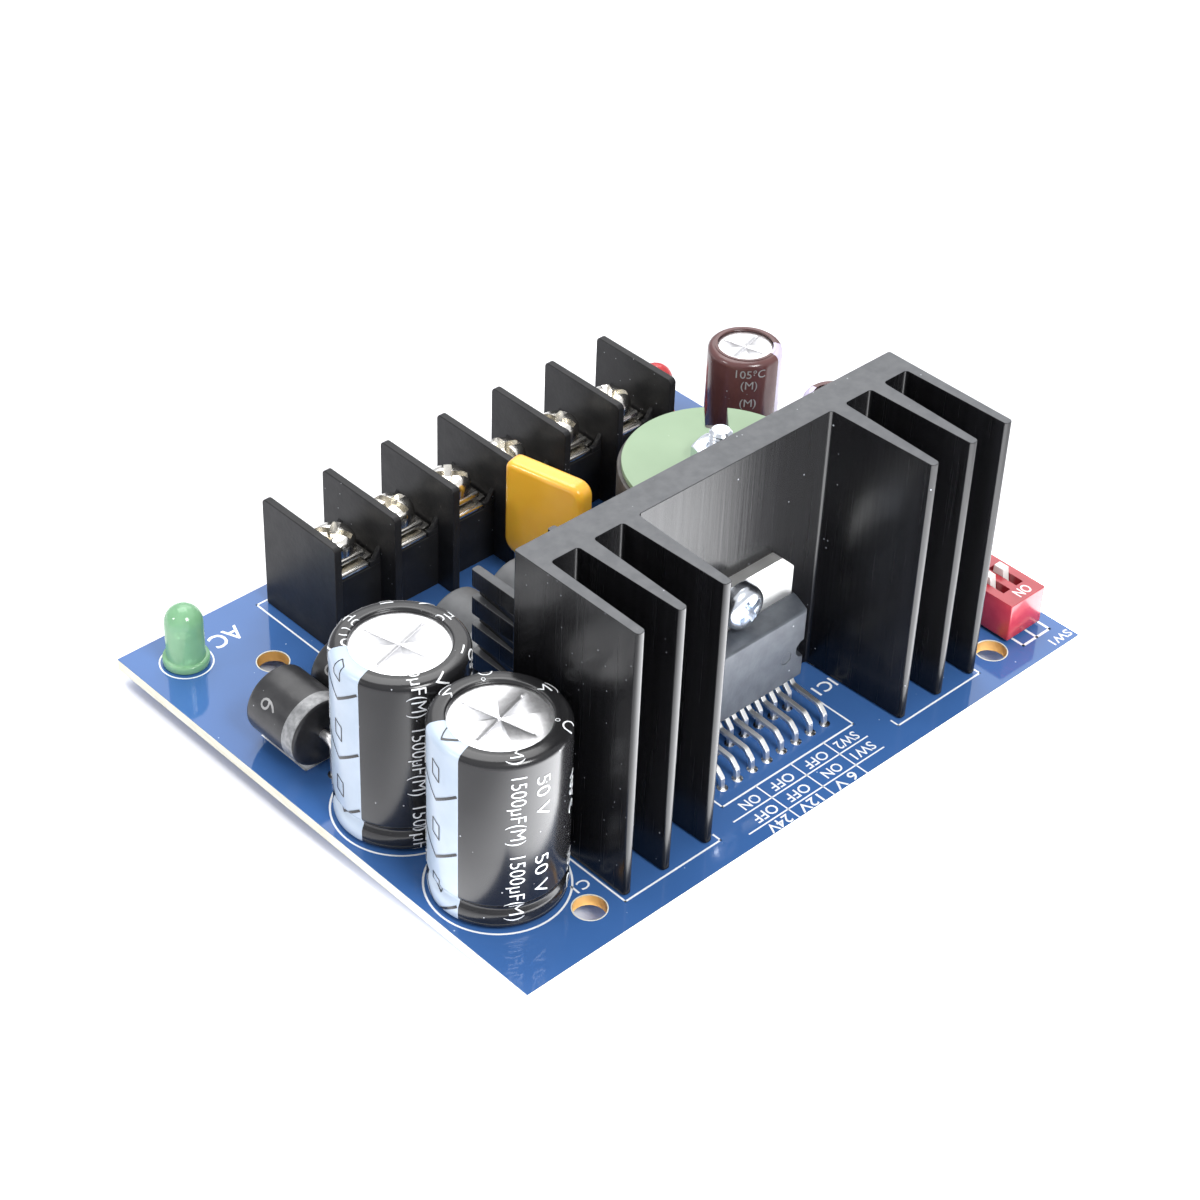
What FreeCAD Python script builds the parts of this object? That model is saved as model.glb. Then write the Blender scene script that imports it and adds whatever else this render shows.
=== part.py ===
"""Open frame power supply: a blue board with a terminal block, four bridge diodes, a regulator
on a tall finned heatsink, a pot core inductor, four capacitors and a two-way setting switch."""
import FreeCAD, Part
import math
import os

V = FreeCAD.Vector
UP = V(0, 0, 1)

# All sizes are in millimetres. Places are measured from the board's front left corner,
# with X along the long edge, Y towards the terminal block and z = 0 on the board's top face.

# Board
board_length = 95.25
board_width = 76.2
board_thickness = 1.6
mount_hole_r = 2.0
mount_hole_from_left = 14.3
mount_hole_from_front = 5.4
mount_spacing_x = 69.85
mount_spacing_y = 57.8
lead_hole_clearance = 0.1
joint_drop = 2.0            # solder joints and screw head stand this far below the board
joint_margin = 0.6          # solder reaches this far round its lead
joint_sides = 5
screw_clearance = 0.05      # round a screw in its hole
beyond = 1.0                # cutters reach this far past the faces that they open

# Main heatsink, an extrusion stood on end with three fins at each side of a wide channel
sink_width = 61.0
sink_depth = 19.55
sink_height = 38.1
sink_lift = 0.2
sink_centre_x = 48.8
sink_back_y = 23.5
sink_plate = 4.2
sink_fin_places = (16.9, 23.7)
sink_fin_root = 2.3
sink_fin_tip = 1.2
sink_end_fin_root = 1.6
sink_tip_round = 0.35
sink_pin_spacing = 50.8
sink_pin_across = 2.3
sink_pin_depth = 6.0
sink_pin_collar = 0.7       # the pin's collar stands this far round it, on the board

# Regulator, a fifteen-lead package with a metal tab
reg_tab = 1.6
reg_tab_width = 19.5
reg_tab_corner = 2.2
reg_bottom_z = 4.8
reg_body_height = 10.3
reg_height = 16.7
reg_body_depth = 3.45
reg_body_width = 20.2
reg_body_front_width = 17.9
reg_hole_below_top = 2.8
reg_body_edge = 0.25
reg_notch_r = 2.0
reg_notch_height = 4.45
reg_mark_r = 0.8
reg_mark_inset = 3.0
reg_mark_height = 4.2
reg_mark_depth = 0.15
round_sides = 12            # for small round holes and hollows
reg_lead_count = 15
reg_lead_pitch = 1.27
reg_lead_width = 0.7
reg_lead_thick = 0.5
reg_row_gap = 5.08
reg_front_row_from_back = 9.63
reg_lead_from_back = 3.1
reg_knee_z = 2.4
reg_knee_run = 1.3
reg_knee_back = 0.9
reg_knee_drop = 0.3
reg_heel_run = 0.25
reg_rear_drop = 1.6

# Machine screws through the two tabs, and pan heads
screw_r = 1.5               # to the edges of its eight-sided shank
tab_hole_clearance = 0.3
pan_head_r = 3.0
pan_head_height = 2.3
head_sides = 12
head_edge_share = 0.45
cross_width = 0.9
cross_span = 3.6
cross_depth = 1.1
nut_across = 5.5
nut_height = 2.4

# Small heatsink, a stamped channel with slotted, staggered wings
rib_width = 13.4
rib_depth = 12.7
rib_height = 19.05
rib_sheet = 1.27
rib_left_x = 27.4
rib_back_y = 40.9
rib_lift = 1.95
rib_outer_count = 5
rib_outer_height = 2.55
rib_inset = 0.8             # at the end of each inward strip
rib_inner_gap = 0.25
rib_inner_short = 0.5
rib_corner = 0.6
rib_root = 3.0
rib_tab_spacing = 10.0
rib_tab_width = 1.6

# Rectifier on the small heatsink, a three-lead package
rect_width = 10.2
rect_bottom_z = 4.6
rect_body_height = 9.0
rect_height = 15.4
rect_tab = 1.3
rect_body_depth = 4.5
rect_hole_height = 12.7
rect_lead_pitch = 2.54
rect_lead_width = 0.8
rect_lead_thick = 0.5
rect_lead_from_back = 2.6
rect_corner = 1.6
rect_screw_end = 0.6
rect_head_r = 2.8
rect_draft = 0.35

# Inductor, a pot core with a green insulating disc, held by one screw through the board
core_r = 12.95
core_x = 69.1
core_y = 40.7
core_lift = 0.4
core_half = 8.05
core_wall = 2.35
core_end = 2.6
core_post_r = 5.6
core_inner_sides = 16
core_bore_clearance = 0.4
core_slot_inside = 1.2
coil_clearance = 0.3
core_slot_width = 3.0
core_slot_angle = 46.6
disc_r = 12.45
disc_thick = 0.8
disc_sides = 48
disc_slot_from_centre = 7.5
core_screw_end = 5.0
core_screw_r = 1.5
core_nut_across = 6.35
coil_lead = 1.0
coil_lead_inside = 0.3

# Electrolytic capacitors: two large ones at the left edge, two slim ones at the right edge
large_cap_x = 9.35
large_cap_front_y = 15.45
large_cap_spacing = 16.8
large_cap_across = 16.2
large_cap_height = 24.9
large_cap_pitch = 7.5
large_cap_disc_r = 5.9
large_cap_sides = 32
slim_cap_x = 88.05
slim_cap_height = 20.3
slim_cap_sides = 28
output_cap_y = 54.7
output_cap_across = 10.1
output_cap_pitch = 5.0
output_cap_disc_r = 3.9
filter_cap_y = 38.6
filter_cap_across = 8.1
filter_cap_pitch = 3.5
filter_cap_disc_r = 3.1
sleeve_thick = 0.25
sleeve_lip = 0.4
sleeve_groove_z = 3.2
sleeve_groove_depth = 0.45
sleeve_groove_half = 0.9
can_lift = 0.3
cap_lead_across = 0.8

# Bridge diodes: two at the left edge and two beside the inductor
diode_pair_x = (6.9, 32.8)
diode_pair_y = (43.8, 41.3)
diode_spacing = 9.6
diode_sides = 32
diode_r = 4.55
diode_length = 9.1
diode_axis_z = 5.05
diode_lead_across = 1.2
diode_lead_run = 2.1

# Resettable fuse, a coated disc on two leads
fuse_width = 11.8
fuse_height = 14.2
fuse_thick = 3.0
fuse_bottom_z = 4.1
fuse_x = 50.35
fuse_y = 52.2
fuse_turn = 13.2
fuse_corner = 2.4
fuse_lead_pitch = 5.1
fuse_lead_across = 0.8

# Indicator lamps: green at the left edge, red beyond the terminal block
lamps = {"green_lamp": (6.2, 70.2), "red_lamp": (88.0, 71.0)}
lamp_r = 2.45
lamp_flange_r = 2.95
lamp_flange = 1.0
lamp_height = 8.6
lamp_lift = 0.2
lamp_dome_steps = 3
lamp_tip_share = 0.15
lamp_sides = 16
lamp_lead_pitch = 2.54
lamp_lead = 0.5

# Terminal block, six ways between seven barriers
block_left_x = 21.05
block_pitch = 9.525
block_ways = 6
barrier_thick = 1.1
barrier_front_y = 58.7
barrier_depth = 14.4
barrier_height = 16.5
barrier_corner = 0.7
block_base_inset = 3.0
block_base_height = 8.3
block_lip = 0.8
block_lip_thick = 0.7
contact_thick = 0.8
contact_margin = 0.15
contact_leg_width = 1.2
contact_leg_thick = 0.8
contact_leg_back = 2.5
contact_slot_clearance = 0.05
well_depth = 5.0
well_across = 4.4

# Terminal screws and their clamps, which rise together as the screw turns
clamp_rest_gap = 0.3
clamp_thick = 1.0
clamp_width = 7.0
clamp_depth = 6.2
clamp_travel = 3.0
thread_r = 1.6
thread_clearance = 0.05      # between the shank and the flats of its hole
terminal_head_r = 2.95
terminal_head_height = 2.5
terminal_screw_below = 4.0

# Setting switch with two sliding actuators
switch_x = 86.65
switch_y = 4.95
switch_width = 6.55
switch_depth = 9.9
switch_top_z = 6.0
switch_lift = 0.5
switch_pitch = 2.54
switch_slot_width = 1.3
switch_slot_length = 4.6
switch_slot_depth = 2.0
slider_clearance = 0.1
slider_length = 2.5
slider_plate = 0.9
knob_length = 1.0
knob_rise = 1.0
slider_travel = 1.9
switch_row_spacing = 7.62
switch_pin = 0.5

parts = {}
lead_places = []


def node(name, *solids):
    """Keeps solids under the name of the piece that they make."""
    shape = solids[0] if len(solids) == 1 else Part.makeCompound(list(solids))
    parts[name] = shape


def box(x0, x1, y0, y1, z0, z1):
    return Part.makeBox(x1 - x0, y1 - y0, z1 - z0, V(x0, y0, z0))


def block(x, y, z0, z1, width, depth):
    """A box centred on x, y."""
    return box(x - width / 2, x + width / 2, y - depth / 2, y + depth / 2, z0, z1)


def polygon(points):
    return Part.Face(Part.makePolygon(points + points[:1]))


def faceted(x, y, profile, sides, half_step=0):
    """A flat-sided stand-in for a turned solid. The profile lists radius, z from its foot to its top,
    and the flats stand at that radius."""
    rings = []
    for radius, z in profile:
        r = radius / math.cos(math.pi / sides)
        turns = [math.pi * (2 * k + 1 + half_step) / sides for k in range(sides)]
        rings.append([V(x + r * math.cos(a), y + r * math.sin(a), z) for a in turns])
    faces = [polygon(rings[0]), polygon(rings[-1])]
    for low, high in zip(rings, rings[1:]):
        faces += [polygon([low[k - 1], low[k], high[k], high[k - 1]]) for k in range(sides)]
    return Part.Solid(Part.Shell(faces))


def prism(x, y, z0, z1, across, sides=8, half_step=0):
    """An upright prism of even sides, across its flats, turned by half a side if asked."""
    return faceted(x, y, ((across / 2, z0), (across / 2, z1)), sides, half_step)


def rod_y(x, y, z, length, radius, sides=8):
    """A flat-sided rod from this point along Y, or the cutter for a hole that clears this radius."""
    rod = prism(0, 0, 0, length, 2 * radius, sides)
    rod.rotate(V(), V(1, 0, 0), -90)
    rod.translate(V(x, y, z))
    return rod


def plate_yz(x, points, thick):
    """A plate of this thickness along X from an outline of y, z points."""
    return polygon([V(x, y, z) for y, z in points]).extrude(V(thick, 0, 0))


def plate_xz(y, points, thick):
    return polygon([V(x, y, z) for x, z in points]).extrude(V(0, thick, 0))


def strip(points, thick):
    """The outline of a bent strip of this thickness along y, z points."""
    near, far = [], []
    for k, (y, z) in enumerate(points):
        before = points[max(k - 1, 0)]
        after = points[min(k + 1, len(points) - 1)]
        a = math.atan2(z - before[1], y - before[0]) if k else None
        b = math.atan2(after[1] - z, after[0] - y) if k < len(points) - 1 else None
        a = b if a is None else a
        b = a if b is None else b
        mid = (a + b) / 2
        reach = thick / 2 / math.cos((b - a) / 2)
        near.append((y - reach * math.sin(mid), z + reach * math.cos(mid)))
        far.append((y + reach * math.sin(mid), z - reach * math.cos(mid)))
    return near + far[::-1]


def wire_along(path, across, sides=8):
    """A straight-sided wire swept along points, mitred at its bends."""
    start, ahead = V(*path[0]), V(*path[1]) - V(*path[0])
    r = across / 2 / math.cos(math.pi / sides)
    side = ahead.cross(V(0.3, 0.2, 1.0)).normalize()
    lift = side.cross(ahead).normalize()
    turns = [math.pi * (2 * k + 1) / sides for k in range(sides)]
    ring = [start + side * (r * math.cos(a)) + lift * (r * math.sin(a)) for a in turns]
    spine = Part.makePolygon([V(*p) for p in path])
    return spine.makePipeShell([Part.makePolygon(ring + ring[:1])], True, False, 1)


def through_board(x, y, width, depth):
    """Notes a lead of this section, for the board's hole and the solder joint below it."""
    lead_places.append((x, y, width, depth))


def pan_screw(below, head_r, head_height, shank):
    """A screw with its head's underside at the origin and its shank, given as a solid, pointing down."""
    edge = head_height * head_edge_share
    head = faceted(0, 0, ((head_r, 0), (head_r, head_height - edge), (head_r - edge, head_height)), head_sides)
    recess = block(0, 0, head_height - cross_depth, head_height + beyond, cross_span, cross_width)
    recess = recess.fuse(block(0, 0, head_height - cross_depth, head_height + beyond, cross_width, cross_span))
    return head.fuse(shank).removeSplitter().cut(recess)


def flat_shank(radius, below, above):
    """An eight-sided shank whose edges stand at this radius."""
    return prism(0, 0, -below, above, 2 * radius * math.cos(math.pi / 8), half_step=1)


def machine_screw(below, head_r):
    return pan_screw(below, head_r, pan_head_height, flat_shank(screw_r, below, pan_head_height / 2))


def board():
    shape = box(0, board_length, 0, board_width, -board_thickness, 0)
    for i in (0, 1):
        for j in (0, 1):
            x = mount_hole_from_left + i * mount_spacing_x
            y = mount_hole_from_front + j * mount_spacing_y
            shape = shape.cut(Part.makeCylinder(mount_hole_r, board_thickness, V(x, y, -board_thickness)))
    bottom = -board_thickness - beyond
    holes = [block(x, y, bottom, beyond, w + 2 * lead_hole_clearance, d + 2 * lead_hole_clearance)
             for x, y, w, d in lead_places]
    holes.append(prism(core_x, core_y, bottom, beyond, 2 * (core_screw_r + lead_hole_clearance)))
    node("pcb", shape.cut(holes))


def solder_joints():
    """Tapered joints under the board, each of which takes in the clipped end of its lead."""
    joints = []
    foot_share = 0.42
    bottom = -board_thickness - joint_drop
    for x, y, w, d in lead_places:
        r = max(w, d) / 2 + joint_margin
        joints.append(faceted(x, y, ((r * foot_share, bottom), (r, -board_thickness)), joint_sides))
    node("solder_joints", *joints)


def main_heatsink():
    half = sink_width / 2
    front = sink_back_y - sink_depth
    face = sink_back_y - sink_plate
    z0, z1 = sink_lift, sink_lift + sink_height
    shape = box(sink_centre_x - half, sink_centre_x + half, face, sink_back_y, z0, z1)
    fins = [(side * place, sink_fin_root / 2, sink_fin_root / 2, sink_fin_tip / 2, sink_fin_tip / 2)
            for side in (-1, 1) for place in sink_fin_places]
    fins += [(-half, 0, sink_end_fin_root, 0, sink_fin_tip), (half, sink_end_fin_root, 0, sink_fin_tip, 0)]
    for place, root_left, root_right, tip_left, tip_right in fins:
        x = sink_centre_x + place
        outline = [V(x - root_left, face, z0), V(x - tip_left, front, z0),
                   V(x + tip_right, front, z0), V(x + root_right, face, z0)]
        fin = polygon(outline).extrude(V(0, 0, sink_height))
        tips = [e for e in fin.Edges if abs(e.CenterOfMass.y - front) < 1e-6
                and abs(e.Vertexes[0].Z - e.Vertexes[-1].Z) > 1]
        shape = shape.fuse(fin.makeFillet(sink_tip_round, tips))
    hole_z = reg_bottom_z + reg_height - reg_hole_below_top
    bore = rod_y(sink_centre_x, face, hole_z, sink_plate, screw_r + screw_clearance)
    shape = shape.removeSplitter().cut(bore)
    pins = []
    pin_y = sink_back_y - sink_plate / 2
    for side in (-1, 1):
        x = sink_centre_x + side * sink_pin_spacing / 2
        shape = shape.cut(prism(x, pin_y, z0, z0 + sink_pin_depth, sink_pin_across))
        pin = prism(x, pin_y, -board_thickness, z0 + sink_pin_depth, sink_pin_across)
        collar = prism(x, pin_y, 0, z0, sink_pin_across + 2 * sink_pin_collar)
        pins.append(pin.fuse(collar).removeSplitter())
        through_board(x, pin_y, sink_pin_across, sink_pin_across)
    node("main_heatsink", shape)
    node("main_heatsink_pins", *pins)


def tab_outline(x, half, bottom, top, corner):
    """The x, z outline of a package's metal tab, with its two upper corners cut."""
    return [(x - half, bottom), (x - half, top - corner), (x - half + corner, top),
            (x + half - corner, top), (x + half, top - corner), (x + half, bottom)]


def regulator():
    back = sink_back_y - sink_plate
    cx = sink_centre_x
    top = reg_bottom_z + reg_height
    hole_z = top - reg_hole_below_top
    half = reg_tab_width / 2
    tab = plate_xz(back - reg_tab, tab_outline(cx, half, reg_bottom_z, top, reg_tab_corner), reg_tab)
    bore = rod_y(cx, back - reg_tab, hole_z, reg_tab, screw_r + tab_hole_clearance, round_sides)
    node("regulator_tab", tab.cut(bore))

    body_back = back - reg_tab
    body_front = body_back - reg_body_depth
    back_half, front_half = reg_body_width / 2, reg_body_front_width / 2
    outline = [(cx - back_half, body_back), (cx + back_half, body_back),
               (cx + front_half, body_front), (cx - front_half, body_front)]
    body = polygon([V(x, y, reg_bottom_z) for x, y in outline]).extrude(V(0, 0, reg_body_height))
    body = body.makeChamfer(reg_body_edge, [e for e in body.Edges if abs(e.CenterOfMass.y - body_front) < 1e-6])
    cutters = []
    for side in (-1, 1):
        x = cx + side * reg_body_width / 2
        z = reg_bottom_z + reg_notch_height
        cutters.append(rod_y(x, body_front, z, reg_body_depth, reg_notch_r, 2 * round_sides))
        x = cx + side * (reg_body_front_width / 2 - reg_mark_inset)
        z = reg_bottom_z + reg_mark_height
        cutters.append(rod_y(x, body_front - beyond, z, beyond + reg_mark_depth, reg_mark_r, round_sides))
    node("regulator_body", body.cut(cutters))

    leads = []
    exit_y = back - reg_lead_from_back
    front_y = back - reg_front_row_from_back
    rear_y = front_y + reg_row_gap
    foot = -board_thickness
    shoulder_z = reg_knee_z + reg_knee_drop
    heel_y, heel_z = front_y + reg_heel_run, reg_knee_z + reg_heel_run - reg_knee_run
    front_path = [(exit_y, reg_bottom_z), (exit_y, shoulder_z + reg_knee_back),
                  (exit_y - reg_knee_back, shoulder_z), (front_y + reg_knee_run, reg_knee_z),
                  (heel_y, heel_z), (front_y, foot)]
    rear_path = [(exit_y, reg_bottom_z), (exit_y, reg_knee_z + reg_rear_drop),
                 (rear_y, reg_knee_z), (rear_y, foot)]
    for k in range(reg_lead_count):
        x = cx + (k - (reg_lead_count - 1) / 2) * reg_lead_pitch
        path, y = (rear_path, rear_y) if k % 2 else (front_path, front_y)
        leads.append(plate_yz(x - reg_lead_width / 2, strip(path, reg_lead_thick), reg_lead_width))
        through_board(x, y, reg_lead_width, reg_lead_thick)
    node("regulator_leads", *leads)

    screw = machine_screw(reg_tab + sink_plate, pan_head_r)
    screw.rotate(V(), V(1, 0, 0), 90)
    screw.translate(V(cx, back - reg_tab, hole_z))
    node("regulator_screw", screw)


def small_heatsink():
    """A stamped channel: a mounting plate, and wings slotted into strips. Every other strip leans in."""
    x0, x1 = rib_left_x, rib_left_x + rib_width
    front = rib_back_y - rib_depth
    z0, z1 = rib_lift, rib_lift + rib_height
    shape = box(x0 + rib_corner, x1 - rib_corner, front, front + rib_sheet, z0, z1)
    gap = (rib_height - rib_outer_count * rib_outer_height) / (rib_outer_count - 1)
    for side in (-1, 1):
        outer = x0 if side < 0 else x1 - rib_sheet
        shape = shape.fuse(box(outer, outer + rib_sheet, front, front + rib_root, z0, z1))
        for k in range(rib_outer_count):
            low = z0 + k * (rib_outer_height + gap)
            strip_box = box(outer, outer + rib_sheet, front + rib_root, rib_back_y, low, low + rib_outer_height)
            ends = [e for e in strip_box.Edges if abs(e.CenterOfMass.y - rib_back_y) < 1e-6
                    and abs(e.Vertexes[0].X - e.Vertexes[-1].X) > 0.5]
            shape = shape.fuse(strip_box.makeChamfer(rib_corner, ends))
            if k < rib_outer_count - 1:
                shift = -side * rib_inset
                inner_low = low + rib_outer_height + rib_inner_gap
                root_y, end_y = front + rib_root, rib_back_y - rib_inner_short
                leaning = [(outer, root_y), (outer + rib_sheet, root_y),
                           (outer + rib_sheet + shift, end_y), (outer + shift, end_y)]
                inner = polygon([V(x, y, inner_low) for x, y in leaning])
                shape = shape.fuse(inner.extrude(V(0, 0, gap - 2 * rib_inner_gap)))
    centre = (x0 + x1) / 2
    hole_z = rect_bottom_z + rect_hole_height
    shape = shape.cut(rod_y(centre, front, hole_z, rib_sheet, screw_r + screw_clearance))
    for side in (-1, 1):
        x = centre + side * rib_tab_spacing / 2
        y = front + rib_sheet / 2
        shape = shape.fuse(block(x, y, -board_thickness, z0 + rib_sheet, rib_tab_width, rib_sheet))
        through_board(x, y, rib_tab_width, rib_sheet)
    node("small_heatsink", shape.removeSplitter())


def rectifier():
    cx = rib_left_x + rib_width / 2
    back = rib_back_y - rib_depth + rib_sheet
    z0 = rect_bottom_z
    half = rect_width / 2
    hole_z = z0 + rect_hole_height
    top = z0 + rect_height
    tab = plate_xz(back, tab_outline(cx, half, z0, top, rect_corner), rect_tab)
    tab = tab.cut(rod_y(cx, back, hole_z, rect_tab, screw_r + tab_hole_clearance, round_sides))
    node("rectifier_tab", tab)
    front = back + rect_body_depth
    body_top = z0 + rect_body_height
    profile = [(back + rect_tab, z0), (front, z0 + rect_draft), (front, body_top - rect_draft),
               (back + rect_tab, body_top)]
    node("rectifier_body", plate_yz(cx - half, profile, rect_width))
    leads = []
    y = back + rect_lead_from_back
    for k in (-1, 0, 1):
        x = cx + k * rect_lead_pitch
        leads.append(block(x, y, -board_thickness, z0, rect_lead_width, rect_lead_thick))
        through_board(x, y, rect_lead_width, rect_lead_thick)
    node("rectifier_leads", *leads)

    screw = machine_screw(rect_tab + rib_sheet + nut_height + rect_screw_end, rect_head_r)
    screw.rotate(V(), V(1, 0, 0), -90)
    screw.translate(V(cx, back + rect_tab, hole_z))
    node("rectifier_screw", screw)
    node("rectifier_nut", nut_y(cx, back - rib_sheet, hole_z))


def nut_y(x, y, z):
    """A hex nut that stands forward of this point along Y."""
    nut = prism(0, 0, 0, nut_height, nut_across, 6)
    nut = nut.cut(prism(0, 0, 0, nut_height, 2 * (screw_r + screw_clearance)))
    nut.rotate(V(), V(1, 0, 0), 90)
    nut.translate(V(x, y, z))
    return nut


def radial_slot(r0, r1, z0, z1, angle):
    slot = box(r0, r1, -core_slot_width / 2, core_slot_width / 2, z0, z1)
    slot.rotate(V(), UP, angle)
    slot.translate(V(core_x, core_y, 0))
    return slot


def inductor():
    """Two ferrite cups face to face round a wound former, with an insulating disc on top."""
    z0 = core_lift
    middle = z0 + core_half
    z1 = middle + core_half
    bore_r = core_screw_r + core_bore_clearance
    inner_r = core_r - core_wall
    well = prism(core_x, core_y, z0 + core_end, z1 - core_end, 2 * inner_r, core_inner_sides)
    well = well.cut(prism(core_x, core_y, z0, z1, 2 * core_post_r, core_inner_sides))
    well = well.fuse(prism(core_x, core_y, z0 - beyond, z1 + disc_thick + beyond, 2 * bore_r))
    lower = Part.makeCylinder(core_r, core_half, V(core_x, core_y, z0)).cut(well)
    upper = Part.makeCylinder(core_r, core_half, V(core_x, core_y, middle)).cut(well)
    for turn in (0, 180):
        angle = core_slot_angle + turn
        slot = radial_slot(inner_r - core_slot_inside, core_r + beyond, z0 - beyond, z1 + beyond, angle)
        lower = lower.cut(slot)
        upper = upper.cut(slot)
    node("inductor_core_lower", lower)
    node("inductor_core_upper", upper)

    coil_in, coil_out = core_post_r + coil_clearance, inner_r - coil_clearance
    coil_z0, coil_z1 = z0 + core_end, z1 - core_end
    coil = prism(core_x, core_y, coil_z0, coil_z1, 2 * coil_out, core_inner_sides)
    coil = coil.cut(prism(core_x, core_y, coil_z0 - beyond, coil_z1 + beyond, 2 * coil_in, core_inner_sides))
    for turn in (0, 180):
        angle = math.radians(core_slot_angle + turn)
        r = inner_r - coil_lead_inside
        x, y = core_x + r * math.cos(angle), core_y + r * math.sin(angle)
        coil = coil.fuse(block(x, y, -board_thickness, coil_z0 + 1.5 * coil_lead, coil_lead, coil_lead))
        through_board(x, y, coil_lead, coil_lead)
    node("inductor_coil", coil.removeSplitter())

    disc = prism(core_x, core_y, z1, z1 + disc_thick, 2 * disc_r, disc_sides).cut(well)
    face = z1 + disc_thick
    slot = radial_slot(disc_slot_from_centre, disc_r + beyond, z1 - beyond, face + beyond, core_slot_angle)
    node("inductor_disc", disc.cut(slot))

    below = board_thickness + face + core_screw_end
    screw = pan_screw(below, pan_head_r, joint_drop, flat_shank(core_screw_r, below, joint_drop / 2))
    screw.rotate(V(), V(1, 0, 0), 180)
    screw.translate(V(core_x, core_y, -board_thickness))
    node("inductor_screw", screw)
    bore = prism(core_x, core_y, face, face + nut_height, 2 * (core_screw_r + screw_clearance))
    nut = prism(core_x, core_y, face, face + nut_height, core_nut_across, 6)
    node("inductor_nut", nut.cut(bore))


def capacitor(number, x, y, across, height, pitch, disc_r, sides, groove_depth=0.0):
    """A sealed can in a shrunk sleeve whose lip leaves the top of the can bare."""
    outer = across / 2
    inner = outer - sleeve_thick - groove_depth
    z0 = can_lift
    profile = [(outer, z0), (outer, height)]
    if groove_depth:
        profile[1:1] = [(outer, sleeve_groove_z - sleeve_groove_half), (outer - groove_depth, sleeve_groove_z),
                        (outer, sleeve_groove_z + sleeve_groove_half)]
    can = prism(x, y, z0, height - sleeve_lip, 2 * inner, sides)
    opening = prism(x, y, height - sleeve_lip - beyond, height + beyond, 2 * disc_r, sides)
    node(f"capacitor_{number}_sleeve", faceted(x, y, profile, sides).cut([can, opening]))
    node(f"capacitor_{number}_can", can)
    leads = []
    for side in (-1, 1):
        leads.append(prism(x + side * pitch / 2, y, -board_thickness, z0, cap_lead_across))
        through_board(x + side * pitch / 2, y, cap_lead_across, cap_lead_across)
    return leads


def diode(number, x, y):
    """A moulded body along Y on two leads that turn down into the board."""
    node(f"diode_{number}", rod_y(x, y, diode_axis_z, diode_length, diode_r, diode_sides))
    leads = []
    for start, way in ((y, -1), (y + diode_length, 1)):
        end = start + way * diode_lead_run
        path = [(x, start, diode_axis_z), (x, end, diode_axis_z), (x, end, -board_thickness)]
        leads.append(wire_along(path, diode_lead_across))
        through_board(x, end, diode_lead_across, diode_lead_across)
    return leads


def fuse():
    half = fuse_width / 2
    z0, z1 = fuse_bottom_z, fuse_bottom_z + fuse_height
    body = box(-fuse_thick / 2, fuse_thick / 2, -half, half, z0, z1)
    corners = [e for e in body.Edges if abs(e.Vertexes[0].X - e.Vertexes[-1].X) > 1]
    body = body.makeFillet(fuse_corner, corners)
    body.rotate(V(), UP, fuse_turn)
    body.translate(V(fuse_x, fuse_y, 0))
    node("fuse_body", body)
    leads = []
    turn = math.radians(fuse_turn)
    for side in (-1, 1):
        along = side * fuse_lead_pitch / 2
        x, y = fuse_x - along * math.sin(turn), fuse_y + along * math.cos(turn)
        leads.append(prism(x, y, -board_thickness, z0, fuse_lead_across))
        through_board(x, y, fuse_lead_across, fuse_lead_across)
    node("fuse_leads", *leads)


def lamp(name, x, y):
    """A round indicator lens with a flange and a domed end."""
    z0 = lamp_lift
    dome_z = z0 + lamp_height - lamp_r
    turns = [math.pi / 2 * k / lamp_dome_steps for k in range(lamp_dome_steps)]
    dome = [(lamp_r * math.cos(a), dome_z + lamp_r * math.sin(a)) for a in turns]
    tip = (lamp_r * lamp_tip_share, dome_z + lamp_r)
    lens = faceted(x, y, [(lamp_r, z0)] + dome + [tip], lamp_sides)
    flange = faceted(x, y, ((lamp_flange_r, z0), (lamp_flange_r, z0 + lamp_flange)), lamp_sides)
    node(name, lens.fuse(flange).removeSplitter())
    leads = []
    for side in (-1, 1):
        leads.append(block(x + side * lamp_lead_pitch / 2, y, -board_thickness, z0, lamp_lead, lamp_lead))
        through_board(x + side * lamp_lead_pitch / 2, y, lamp_lead, lamp_lead)
    return leads


def way_centre(k):
    x = block_left_x + barrier_thick + (block_pitch - barrier_thick) / 2 + k * block_pitch
    return x, barrier_front_y + barrier_depth / 2


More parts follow.
